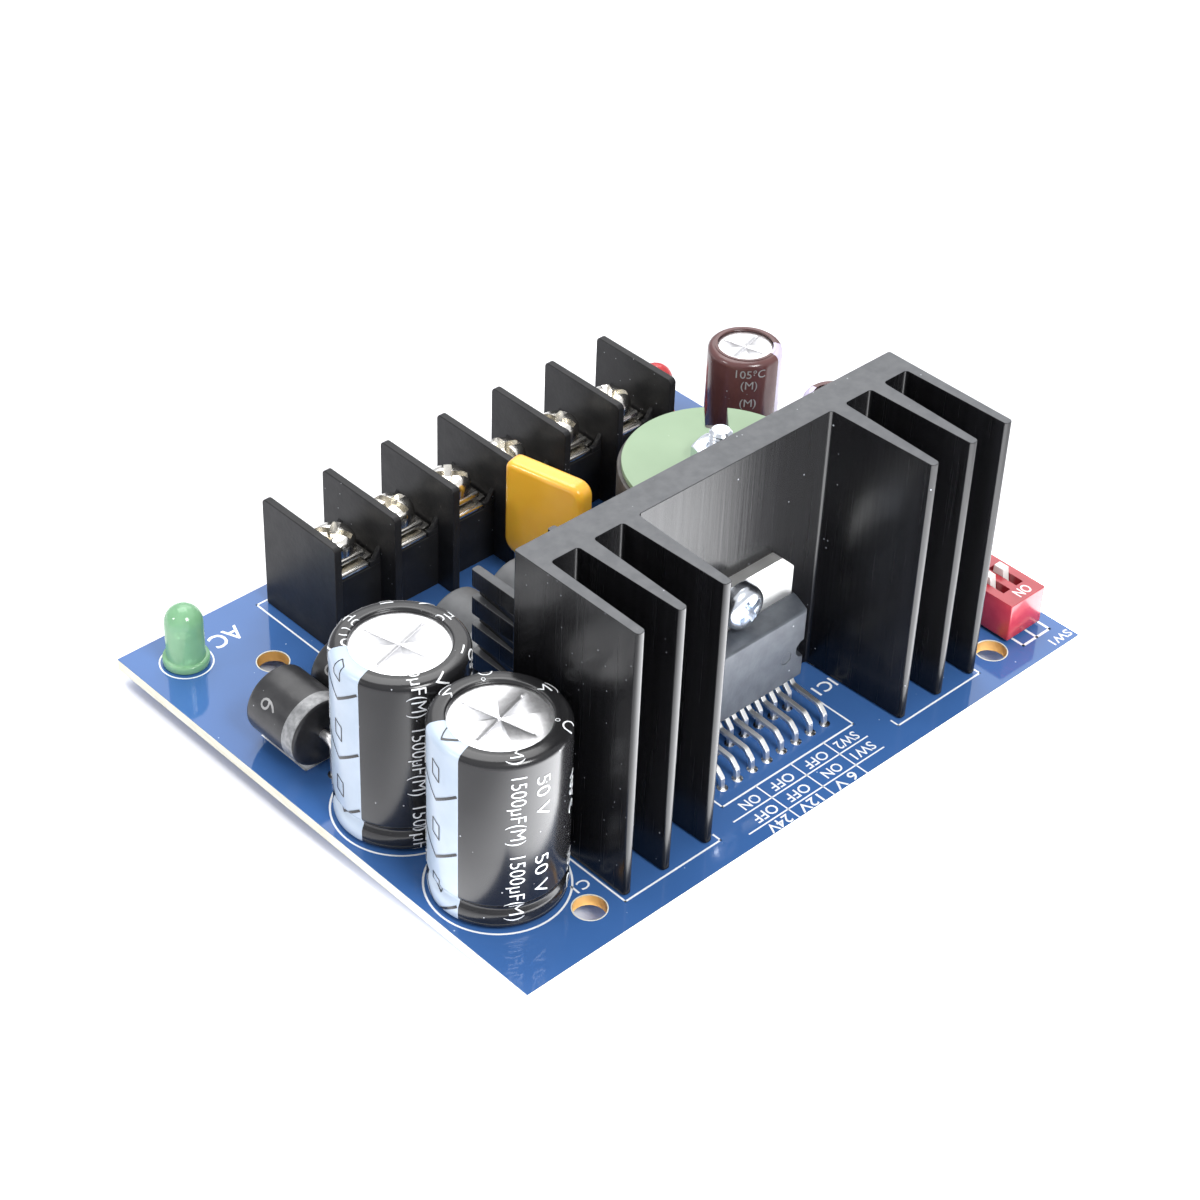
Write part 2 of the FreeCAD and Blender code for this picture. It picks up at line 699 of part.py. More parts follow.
def terminal_block():
    length = block_ways * block_pitch + barrier_thick
    x0, x1 = block_left_x, block_left_x + length
    y0, y1 = barrier_front_y, barrier_front_y + barrier_depth
    base0, base1 = y0 + block_base_inset, y1 - block_base_inset
    plate_z = block_base_height
    lip_z = block_base_height + block_lip
    housing = box(x0, x1, base0, base1, 0, lip_z)
    for k in range(block_ways + 1):
        x = x0 + k * block_pitch
        c = barrier_corner
        outline = [(y0 + c, 0), (y1 - c, 0), (y1, c), (y1, barrier_height - c), (y1 - c, barrier_height),
                   (y0 + c, barrier_height), (y0, barrier_height - c), (y0, c)]
        housing = housing.fuse(plate_yz(x, outline, barrier_thick))
    housing = housing.removeSplitter()
    half_x = (block_pitch - barrier_thick) / 2
    hole_across = 2 * (thread_r + thread_clearance)
    tray_depth = base1 - base0 - 2 * block_lip_thick
    plate_w, plate_d = 2 * (half_x - contact_margin), tray_depth - 2 * contact_margin
    cutters, contacts = [], []
    for k in range(block_ways):
        x, y = way_centre(k)
        leg_y = y + contact_leg_back
        slack = 2 * contact_slot_clearance
        cutters.append(block(x, y, plate_z, lip_z + beyond, 2 * half_x, tray_depth))
        cutters.append(prism(x, y, plate_z - well_depth, lip_z, well_across))
        cutters.append(block(x, leg_y, -beyond, lip_z, contact_leg_width + slack, contact_leg_thick + slack))
        plate = block(x, y, plate_z, plate_z + contact_thick, plate_w, plate_d)
        plate = plate.cut(prism(x, y, plate_z, plate_z + contact_thick, hole_across))
        leg = block(x, leg_y, -board_thickness, plate_z + contact_thick, contact_leg_width, contact_leg_thick)
        contacts.append(plate.fuse(leg).removeSplitter())
        through_board(x, leg_y, contact_leg_width, contact_leg_thick)
    node("terminal_block_housing", housing.cut(cutters))
    node("terminal_contacts", *contacts)

    clamp_z = plate_z + contact_thick + clamp_rest_gap
    head_z = clamp_z + clamp_thick
    reach = clamp_thick + clamp_rest_gap + contact_thick + terminal_screw_below
    shank = Part.makeCylinder(thread_r, reach + terminal_head_height / 2, V(0, 0, -reach))
    for k in range(block_ways):
        x, y = way_centre(k)
        clamp = block(x, y, clamp_z, clamp_z + clamp_thick, clamp_width, clamp_depth)
        hole = prism(x, y, clamp_z, clamp_z + clamp_thick, hole_across)
        node(f"terminal_clamp_{k + 1}", clamp.cut(hole))
        screw = pan_screw(reach, terminal_head_r, terminal_head_height, shank)
        screw.translate(V(x, y, head_z))
        node(f"terminal_screw_{k + 1}", screw)


def setting_switch():
    """A small housing with two slots, a sliding actuator in each and four pins."""
    x0, y0 = switch_x, switch_y
    cx, cy = x0 + switch_width / 2, y0 + switch_depth / 2
    housing = box(x0, x0 + switch_width, y0, y0 + switch_depth, switch_lift, switch_top_z)
    floor = switch_top_z - switch_slot_depth
    slots, pins = [], []
    for number, side in ((1, 1), (2, -1)):
        x = cx + side * switch_pitch / 2
        slots.append(block(x, cy, floor, switch_top_z + beyond, switch_slot_width, switch_slot_length))
        width = switch_slot_width - 2 * slider_clearance
        back = cy + switch_slot_length / 2 - slider_clearance
        plate = box(x - width / 2, x + width / 2, back - slider_length, back, floor, floor + slider_plate)
        knob = block(x, back - slider_length / 2, floor, switch_top_z + knob_rise, width, knob_length)
        node(f"switch_slider_{number}", plate.fuse(knob).removeSplitter())
        for way in (-1, 1):
            y = cy + way * switch_row_spacing / 2
            pins.append(block(x, y, -board_thickness, switch_lift, switch_pin, switch_pin))
            through_board(x, y, switch_pin, switch_pin)
    node("switch_housing", housing.cut(slots))
    node("switch_pins", *pins)


main_heatsink()
regulator()
small_heatsink()
rectifier()
inductor()
capacitor_leads = []
for count in (0, 1):
    capacitor_leads += capacitor(count + 1, large_cap_x, large_cap_front_y + count * large_cap_spacing,
                                 large_cap_across, large_cap_height, large_cap_pitch, large_cap_disc_r,
                                 large_cap_sides, sleeve_groove_depth)
capacitor_leads += capacitor(3, slim_cap_x, output_cap_y, output_cap_across, slim_cap_height,
                             output_cap_pitch, output_cap_disc_r, slim_cap_sides)
capacitor_leads += capacitor(4, slim_cap_x, filter_cap_y, filter_cap_across, slim_cap_height,
                             filter_cap_pitch, filter_cap_disc_r, slim_cap_sides)
node("capacitor_leads", *capacitor_leads)
diode_leads = []
for count in range(4):
    pair, place = divmod(count, 2)
    diode_leads += diode(count + 1, diode_pair_x[pair] + place * diode_spacing, diode_pair_y[pair])
node("diode_leads", *diode_leads)
fuse()
lamp_leads = []
for lamp_name, (place_x, place_y) in lamps.items():
    lamp_leads += lamp(lamp_name, place_x, place_y)
node("lamp_leads", *lamp_leads)
terminal_block()
setting_switch()
board()
solder_joints()

os.makedirs("parts", exist_ok=True)
to_origin = V(-board_length / 2, -board_width / 2, board_thickness + joint_drop)
for name, shape in parts.items():
    shape.translate(to_origin)
    shape.exportStep(f"parts/{name}.step")
    print(name, len(shape.Solids), round(shape.Volume, 1), shape.isValid())
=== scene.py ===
"""Looks of the open frame power supply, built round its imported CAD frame."""
import bmesh
import bpy
import math
from mathutils import Matrix, Vector


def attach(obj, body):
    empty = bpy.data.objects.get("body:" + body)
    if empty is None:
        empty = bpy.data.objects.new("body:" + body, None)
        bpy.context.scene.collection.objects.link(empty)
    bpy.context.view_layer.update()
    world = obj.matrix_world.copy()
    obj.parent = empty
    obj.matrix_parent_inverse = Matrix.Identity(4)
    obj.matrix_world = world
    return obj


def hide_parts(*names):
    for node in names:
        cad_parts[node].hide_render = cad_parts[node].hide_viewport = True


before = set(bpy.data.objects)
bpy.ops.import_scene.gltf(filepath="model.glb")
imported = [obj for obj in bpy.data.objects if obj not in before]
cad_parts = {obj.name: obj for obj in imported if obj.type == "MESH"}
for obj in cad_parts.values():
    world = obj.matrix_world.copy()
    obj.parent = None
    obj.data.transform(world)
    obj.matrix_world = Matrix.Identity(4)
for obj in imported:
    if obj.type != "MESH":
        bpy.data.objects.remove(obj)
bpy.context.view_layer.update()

# Lengths are in millimetres from the board's front left corner, with z = 0 on its top face,
# and a mesh is moved to the CAD frame's origin and metres when its piece is made.
MM = 0.001
ORIGIN = Vector((-47.625, -38.1, 3.6))
BOARD = (95.25, 76.2, 1.6)
BOARD_HOLES = [(x, y) for x in (14.3, 84.15) for y in (5.4, 63.2)]
BOTTOM = -BOARD[2]


# Mesh helpers

def place(x=0, y=0, z=0, turn=0, along="z"):
    """The matrix that sets a shape made round Z at this point, turned about Z or laid along Y."""
    m = Matrix.Translation((x, y, z))
    if along == "y":
        m = m @ Matrix.Rotation(math.radians(-90), 4, "X")
    if along == "-y":
        m = m @ Matrix.Rotation(math.radians(90), 4, "X")
    return m @ Matrix.Rotation(math.radians(turn), 4, "Z")


def rounded(points, radius, steps=4, closed=True):
    """The line through these points with its corners rounded, by one radius or one for each corner."""
    points = [Vector(p) for p in points]
    out = []
    for k, p in enumerate(points):
        r = radius[k] if hasattr(radius, "__len__") else radius
        if r <= 0 or (not closed and k in (0, len(points) - 1)):
            out.append(p)
            continue
        a, b = points[k - 1] - p, points[(k + 1) % len(points)] - p
        half = a.angle(b) / 2
        if half > math.radians(89):
            out.append(p)
            continue
        reach = min(r / math.tan(half), 0.49 * a.length, 0.49 * b.length)
        r = reach * math.tan(half)
        a.normalize()
        b.normalize()
        centre = p + (a + b).normalized() * (r / math.sin(half))
        start, end = p + a * reach - centre, p + b * reach - centre
        sweep = start.angle(end)
        for i in range(steps + 1):
            t = i / steps
            share = (start * math.sin((1 - t) * sweep) + end * math.sin(t * sweep)) / math.sin(sweep)
            out.append(centre + share)
    return out


def loft(bm, rings, caps=True, at=Matrix(), paint=None):
    """Skins rings of points, each ring closed, with a face over the first and the last."""
    rows = [[bm.verts.new(at @ Vector(p)) for p in ring] for ring in rings]
    n = len(rows[0])
    faces = []
    for j, (low, high) in enumerate(zip(rows, rows[1:])):
        for k in range(n):
            face = bm.faces.new((low[k - 1], low[k], high[k], high[k - 1]))
            if paint:
                face.material_index = paint(j, k)
            faces.append(face)
    if caps:
        faces.append(bm.faces.new(rows[0]))
        faces.append(bm.faces.new(rows[-1]))
    return faces


def slab(bm, outline, low, high, plane="xy", at=Matrix()):
    """An outline in one plane, given thickness from low to high across it."""
    def lift(p, w):
        return {"xy": (p[0], p[1], w), "xz": (p[0], w, p[1]), "yz": (w, p[0], p[1])}[plane]
    loft(bm, [[lift(p, low) for p in outline], [lift(p, high) for p in outline]], at=at)


def rect(x0, x1, y0, y1):
    return [(x0, y0), (x1, y0), (x1, y1), (x0, y1)]


def box(bm, x0, x1, y0, y1, z0, z1, at=Matrix()):
    slab(bm, rect(x0, x1, y0, y1), z0, z1, at=at)


def block(bm, x, y, z0, z1, width, depth, at=Matrix()):
    box(bm, x - width / 2, x + width / 2, y - depth / 2, y + depth / 2, z0, z1, at)


def lathe(bm, profile, segments=48, at=Matrix(), closed=False, paint=None):
    """Turns radius, z pairs about Z. A closed profile makes a ring, an open one is capped at both ends."""
    rings = []
    for r, z in profile + profile[:1] if closed else profile:
        turns = [2 * math.pi * k / segments for k in range(segments)]
        rings.append([(r * math.cos(a), r * math.sin(a), z) for a in turns])
    loft(bm, rings, not closed, at, paint)


def tube(bm, path, radius, segments=12, bend=1.2):
    """A round wire along points, with its bends rounded."""
    points = rounded(path, bend, 5, closed=False)
    rings = []
    side = Vector((0.3, 0.2, 1.0)).cross(points[1] - points[0]).normalized()
    for k, p in enumerate(points):
        ahead = (points[min(k + 1, len(points) - 1)] - points[max(k - 1, 0)]).normalized()
        side = (side - ahead * side.dot(ahead)).normalized()
        other = ahead.cross(side)
        turns = [2 * math.pi * i / segments for i in range(segments)]
        rings.append([p + (side * math.cos(a) + other * math.sin(a)) * radius for a in turns])
    loft(bm, rings)


def ribbon(bm, x, path, width, thick, bend=0.8):
    """A flat lead of this width along X that follows y, z points."""
    points = rounded([(0, y, z) for y, z in path], bend, 4, closed=False)
    rings = []
    for k, p in enumerate(points):
        ahead = (points[min(k + 1, len(points) - 1)] - points[max(k - 1, 0)]).normalized()
        across = Vector((1, 0, 0)).cross(ahead) * (thick / 2)
        left, right = Vector((x - width / 2, 0, 0)), Vector((x + width / 2, 0, 0))
        rings.append([left + p + across, right + p + across, right + p - across, left + p - across])
    loft(bm, rings)


def temporary(bm):
    mesh = bpy.data.meshes.new("tool")
    bm.normal_update()
    bmesh.ops.remove_doubles(bm, verts=bm.verts, dist=1e-5)
    bmesh.ops.recalc_face_normals(bm, faces=bm.faces)
    bm.to_mesh(mesh)
    bm.free()
    obj = bpy.data.objects.new("tool", mesh)
    bpy.context.scene.collection.objects.link(obj)
    return obj


def carve(bm, *tools, operation="DIFFERENCE"):
    """The shape less each tool, as a new mesh."""
    base = temporary(bm)
    made = [base]
    for tool in tools:
        cutter = temporary(tool)
        made.append(cutter)
        change = base.modifiers.new("cut", "BOOLEAN")
        change.operation = operation
        change.solver = "EXACT"
        change.object = cutter
    graph = bpy.context.evaluated_depsgraph_get()
    graph.update()
    result = bmesh.new()
    result.from_mesh(base.evaluated_get(graph).to_mesh())
    for obj in made:
        bpy.data.objects.remove(obj)
    return result


def rod(radius, z0, z1, segments=24, at=Matrix()):
    bm = bmesh.new()
    lathe(bm, [(radius, z0), (radius, z1)], segments, at)
    return bm


def brick(*sides, at=Matrix()):
    bm = bmesh.new()
    box(bm, *sides, at=at)
    return bm


def piece(name, bm, body, materials, nodes=(), bevel=0.0, segments=2, angle=35):
    """Makes the mesh a piece: its edges rounded, its materials set, moving with its body."""
    bmesh.ops.remove_doubles(bm, verts=bm.verts, dist=2e-4)
    bmesh.ops.recalc_face_normals(bm, faces=bm.faces)
    for v in bm.verts:
        v.co = (v.co + ORIGIN) * MM
    mesh = bpy.data.meshes.new(name)
    bm.to_mesh(mesh)
    bm.free()
    mesh.shade_smooth()
    mesh.set_sharp_from_angle(angle=math.radians(angle))
    obj = bpy.data.objects.new(name, mesh)
    bpy.context.scene.collection.objects.link(obj)
    for material in materials if isinstance(materials, (list, tuple)) else [materials]:
        mesh.materials.append(material)
    if bevel:
        edge = obj.modifiers.new("edges", "BEVEL")
        edge.width = bevel * MM
        edge.segments = segments
        edge.limit_method = "ANGLE"
        edge.angle_limit = math.radians(angle)
        edge.harden_normals = True
    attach(obj, body)
    if nodes:
        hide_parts(*nodes)
    return obj


# Materials

def finish(name, colour, second=None, patch=200, rough=(0.4, 0.5), metallic=0.0, bump=0.0, grain=1500,
           stretch=(1, 1, 1), specks=0.0, speck_colour=(0.6, 0.62, 0.66), speck_size=1400, coat=0.0, ior=1.5,
           transmission=0.0, subsurface=0.0, contrast=(0.35, 0.65)):
    """A procedural finish: two tones in soft patches, uneven gloss, fine relief and a few specks of dust."""
    material = bpy.data.materials.new(name)
    material.use_nodes = True
    nodes, links = material.node_tree.nodes, material.node_tree.links
    shader = nodes["Principled BSDF"]
    shader.inputs["Metallic"].default_value = metallic
    shader.inputs["IOR"].default_value = ior
    shader.inputs["Coat Weight"].default_value = coat
    shader.inputs["Coat Roughness"].default_value = 0.06
    shader.inputs["Transmission Weight"].default_value = transmission
    shader.inputs["Subsurface Weight"].default_value = subsurface
    shader.inputs["Subsurface Scale"].default_value = 0.001
    place_node = nodes.new("ShaderNodeTexCoord")
    mapping = nodes.new("ShaderNodeMapping")
    mapping.inputs["Scale"].default_value = stretch
    links.new(place_node.outputs["Object"], mapping.inputs["Vector"])

    def noise(scale, detail=3.0, vector=mapping.outputs["Vector"]):
        texture = nodes.new("ShaderNodeTexNoise")
        texture.inputs["Scale"].default_value = scale
        texture.inputs["Detail"].default_value = detail
        links.new(vector, texture.inputs["Vector"])
        return texture.outputs["Fac"]

    ramp = nodes.new("ShaderNodeValToRGB")
    ramp.color_ramp.elements[0].position = contrast[0]
    ramp.color_ramp.elements[1].position = contrast[1]
    ramp.color_ramp.elements[0].color = (*colour, 1)
    ramp.color_ramp.elements[1].color = (*(second or [c * 1.15 for c in colour]), 1)
    links.new(noise(patch), ramp.inputs["Fac"])
    tone = ramp.outputs["Color"]
    if specks:
        dust = nodes.new("ShaderNodeTexVoronoi")
        dust.inputs["Scale"].default_value = speck_size
        links.new(place_node.outputs["Object"], dust.inputs["Vector"])
        near = nodes.new("ShaderNodeMapRange")
        near.inputs["From Min"].default_value = 0.16
        near.inputs["From Max"].default_value = 0.10
        links.new(dust.outputs["Distance"], near.inputs["Value"])
        some = nodes.new("ShaderNodeMapRange")
        some.inputs["From Min"].default_value = 1.0 - specks
        some.inputs["From Max"].default_value = 1.0 - specks * 0.8
        split = nodes.new("ShaderNodeSeparateColor")
        links.new(dust.outputs["Color"], split.inputs["Color"])
        links.new(split.outputs["Red"], some.inputs["Value"])
        both = nodes.new("ShaderNodeMath")
        both.operation = "MULTIPLY"
        links.new(near.outputs["Result"], both.inputs[0])
        links.new(some.outputs["Result"], both.inputs[1])
        mix = nodes.new("ShaderNodeMix")
        mix.data_type = "RGBA"
        mix.inputs["B"].default_value = (*speck_colour, 1)
        links.new(both.outputs["Value"], mix.inputs["Factor"])
        links.new(tone, mix.inputs["A"])
        tone = mix.outputs["Result"]
    links.new(tone, shader.inputs["Base Color"])
    gloss = nodes.new("ShaderNodeMapRange")
    gloss.inputs["To Min"].default_value = rough[0]
    gloss.inputs["To Max"].default_value = rough[1]
    links.new(noise(patch * 2.3), gloss.inputs["Value"])
    links.new(gloss.outputs["Result"], shader.inputs["Roughness"])
    if bump:
        relief = nodes.new("ShaderNodeBump")
        relief.inputs["Strength"].default_value = 0.6
        relief.inputs["Distance"].default_value = bump * MM
        links.new(noise(grain, 4.0), relief.inputs["Height"])
        links.new(relief.outputs["Normal"], shader.inputs["Normal"])
    return material


mask = finish("board_mask", (0.042, 0.120, 0.325), (0.048, 0.132, 0.352), 60, (0.05, 0.09), bump=0.004,
              grain=900, specks=0.02, speck_colour=(0.4, 0.55, 0.75))
laminate = finish("board_edge", (0.70, 0.68, 0.55), (0.78, 0.77, 0.66), 300, (0.5, 0.7), bump=0.02,
                  grain=2500, stretch=(1, 1, 6))
amber = finish("hole_wall", (0.66, 0.36, 0.09), (0.78, 0.46, 0.14), 500, (0.4, 0.6), bump=0.03, grain=2500)
ink = finish("white_print", (0.80, 0.83, 0.86), (0.90, 0.92, 0.94), 400, (0.4, 0.55), bump=0.005, grain=2500)
tin = finish("tin_plate", (0.80, 0.80, 0.79), (0.90, 0.90, 0.88), 250, (0.32, 0.46), 1.0, bump=0.010, grain=1200)
solder = finish("solder", (0.62, 0.63, 0.65), (0.80, 0.81, 0.82), 500, (0.14, 0.30), 1.0, bump=0.03, grain=900)
zinc = finish("zinc_plate", (0.66, 0.70, 0.76), (0.82, 0.86, 0.92), 350, (0.16, 0.28), 1.0, bump=0.005, grain=1600)
nickel = finish("nickel_plate", (0.88, 0.85, 0.78), (0.96, 0.94, 0.89), 450, (0.14, 0.24), 1.0, bump=0.004,
                grain=1400)
drawn_black = finish("anodised_extrusion", (0.0035, 0.0035, 0.004), (0.006, 0.006, 0.007), 1300, (0.18, 0.32),
                     bump=0.020, grain=2200, stretch=(1, 1, 0.02), specks=0.03, speck_colour=(0.35, 0.37, 0.40),
                     speck_size=1300, ior=1.38)
sawn_black = finish("anodised_cut", (0.070, 0.074, 0.080), (0.092, 0.096, 0.102), 700, (0.42, 0.58), bump=0.02,
                    grain=2600, specks=0.07, speck_colour=(0.40, 0.42, 0.45), speck_size=1500)
moulding = finish("block_moulding", (0.012, 0.012, 0.013), (0.018, 0.018, 0.019), 260, (0.34, 0.50), bump=0.03,
                  grain=1900, specks=0.03, speck_colour=(0.30, 0.31, 0.33), speck_size=1700, ior=1.32)
epoxy = finish("package_epoxy", (0.048, 0.054, 0.066), (0.070, 0.079, 0.092), 500, (0.34, 0.48), bump=0.03,
               grain=2400, specks=0.02)
tab_metal = finish("package_tab", (0.92, 0.92, 0.90), (0.98, 0.98, 0.96), 300, (0.46, 0.58), 1.0, bump=0.008,
                   grain=900)
ferrite = finish("ferrite", (0.045, 0.040, 0.038), (0.090, 0.082, 0.076), 700, (0.42, 0.62), bump=0.03,
                 grain=2600, specks=0.05, speck_colour=(0.30, 0.28, 0.26))
copper = finish("winding", (0.42, 0.16, 0.05), (0.60, 0.28, 0.10), 400, (0.22, 0.34), 0.8, bump=0.01)
green_sheet = finish("green_sheet", (0.235, 0.335, 0.21), (0.265, 0.37, 0.235), 90, (0.35, 0.5), bump=0.006,
                     grain=900, specks=0.02, speck_colour=(0.8, 0.9, 0.8))
black_film = finish("black_sleeve", (0.010, 0.010, 0.011), (0.015, 0.015, 0.016), 150, (0.16, 0.24), bump=0.012,
                    grain=320, specks=0.05, speck_size=1500)
stripe_film = finish("sleeve_stripe", (0.40, 0.48, 0.58), (0.45, 0.53, 0.63), 200, (0.2, 0.3), bump=0.012,
                     grain=320)
brown_film = finish("brown_sleeve", (0.085, 0.034, 0.034), (0.110, 0.046, 0.044), 200, (0.16, 0.24), bump=0.012,
                    grain=320, specks=0.04)
lilac_film = finish("lilac_stripe", (0.48, 0.43, 0.58), (0.56, 0.51, 0.66), 200, (0.2, 0.3), bump=0.01, grain=320)
can_metal = finish("can_aluminium", (0.84, 0.84, 0.85), (0.93, 0.93, 0.94), 1600, (0.26, 0.44), 1.0, bump=0.02,
                   grain=1500, contrast=(0.45, 0.60))
diode_epoxy = finish("diode_body", (0.018, 0.018, 0.020), (0.030, 0.030, 0.032), 500, (0.26, 0.38), bump=0.02,
                     grain=1800, specks=0.03)
# Rear diodes D3 and D4 are the same kind as D1 and D2. Their lighter grey body is a painted reflection, in place of the
# brighter sheen they show.
reflection_lit_epoxy = finish("diode_body_painted_reflection", (0.090, 0.094, 0.098), (0.12, 0.124, 0.13), 400, (0.40, 0.52), bump=0.02,
                    grain=1800, specks=0.02)
band_ink = finish("band_print", (0.20, 0.205, 0.21), (0.32, 0.325, 0.33), 1500, (0.3, 0.45), 0.3, bump=0.01)
faint_ink = finish("grey_print", (0.26, 0.26, 0.26), (0.36, 0.36, 0.36), 900, (0.4, 0.5), bump=0.01)
amber_coat = finish("fuse_coating", (0.84, 0.43, 0.035), (0.92, 0.50, 0.045), 120, (0.16, 0.26), bump=0.02,
                    grain=260, coat=0.4, subsurface=0.15)
green_lens = finish("green_lens", (0.27, 0.56, 0.31), (0.33, 0.63, 0.37), 300, (0.08, 0.14), ior=1.5,
                    transmission=0.4)
red_lens = finish("red_lens", (0.78, 0.05, 0.06), (0.86, 0.09, 0.09), 300, (0.08, 0.14), ior=1.5,
                  transmission=0.4)
red_plastic = finish("switch_red", (0.33, 0.022, 0.034), (0.40, 0.034, 0.046), 400, (0.16, 0.28), bump=0.01,
                     grain=1500, coat=0.3)
white_plastic = finish("switch_white", (0.80, 0.80, 0.77), (0.88, 0.88, 0.85), 400, (0.3, 0.45), bump=0.01)
# The floor's plain colour; its emission, set under the stage below, is a painted pool of light in front of the board.
floor_paint = finish("floor", (0.86, 0.86, 0.89), (0.88, 0.88, 0.90), 3, (0.7, 0.8))


# Board

def board_piece():
    bm = bmesh.new()
    box(bm, 0, BOARD[0], 0, BOARD[1], BOTTOM, 0)
    bm = carve(bm, *[rod(2.0, BOTTOM - 1, 1, 40, place(x, y)) for x, y in BOARD_HOLES])
    bm.faces.ensure_lookup_table()
    for face in bm.faces:
        c = face.calc_center_median()
        if abs(face.normal.z) > 0.5:
            face.material_index = 0
        elif any(math.hypot(c.x - x, c.y - y) < 2.5 for x, y in BOARD_HOLES):
            face.material_index = 2
        else:
            face.material_index = 1
    piece("board", bm, "board", [mask, laminate, amber], ["pcb"], 0.06, 1)
    bm = bmesh.new()
    for x, y in BOARD_HOLES:
        lathe(bm, [(2.02, -0.05), (2.15, -0.05), (2.15, 0.02), (2.02, 0.02)], 40, place(x, y), True)
    piece("hole_rims", bm, "board", laminate)


LEADS = []


def note(x, y, width, depth):
    LEADS.append((x, y, width, depth))


def joints_piece():
    """Cone-shaped joints below the board and thin fillets of solder on top of it."""
    bm = bmesh.new()
    for x, y, w, d in LEADS:
        r = max(w, d) / 2 + 0.6
        profile = [(r, BOTTOM + 0.02), (r, BOTTOM - 0.05), (0.72 * r, BOTTOM - 0.25), (0.52 * r, BOTTOM - 0.7),
                   (0.42 * r, BOTTOM - 1.3), (0.36 * r, BOTTOM - 1.85), (0.18 * r, BOTTOM - 2.0)]
        lathe(bm, profile, 20, place(x, y))
    piece("solder_cones", bm, "board", solder, ["solder_joints"])
    bm = bmesh.new()
    for x, y, w, d in LEADS:
        r = max(w, d) / 2 + 0.35
        lathe(bm, [(r, -0.03), (r, 0.03), (0.8 * r, 0.07), (0.55 * r, 0.16)], 20, place(x, y))
    piece("top_pads", bm, "board", solder)


def letters(text, height, at=Matrix(), into=None, length=None, thick=0.012, weight=0.012):
    """Generic lettering in the XY plane with its centre at the origin, standing slightly proud."""
    curve = bpy.data.curves.new("letters", "FONT")
    curve.body = text
    curve.size = height / 0.73
    curve.align_x = "CENTER"
    curve.align_y = "CENTER"
    curve.extrude = thick
    curve.offset = height * weight
    curve.resolution_u = 3
    obj = bpy.data.objects.new("letters", curve)
    bpy.context.scene.collection.objects.link(obj)
    graph = bpy.context.evaluated_depsgraph_get()
    graph.update()
    part = bmesh.new()
    part.from_mesh(obj.evaluated_get(graph).to_mesh())
    bpy.data.objects.remove(obj)
    reach = [v.co.x for v in part.verts]
    wide = length / (max(reach) - min(reach)) if length else 1.0
    for v in part.verts:
        v.co = at @ Vector((v.co.x * wide, v.co.y, v.co.z))
    if into is None:
        return part
    mesh = bpy.data.meshes.new("letters")
    part.to_mesh(mesh)
    part.free()
    into.from_mesh(mesh)
    bpy.data.meshes.remove(mesh)
    return into


def line(bm, x0, y0, x1, y1, width=0.25):
    a, b = Vector((x0, y0)), Vector((x1, y1))
    along = (b - a).normalized() * (width / 2)
    side = Vector((-along.y, along.x))
    a, b = a - along, b + along
    slab(bm, [a + side, b + side, b - side, a - side], -0.02, 0.012)


def outline(bm, points, width=0.25):
    for p, q in zip(points, points[1:]):
        line(bm, *p, *q, width)


def ring(bm, x, y, radius, width=0.25, segments=72):
    profile = [(radius - width / 2, -0.02), (radius + width / 2, -0.02), (radius + width / 2, 0.012),
               (radius - width / 2, 0.012)]
    lathe(bm, profile, segments, place(x, y), True)


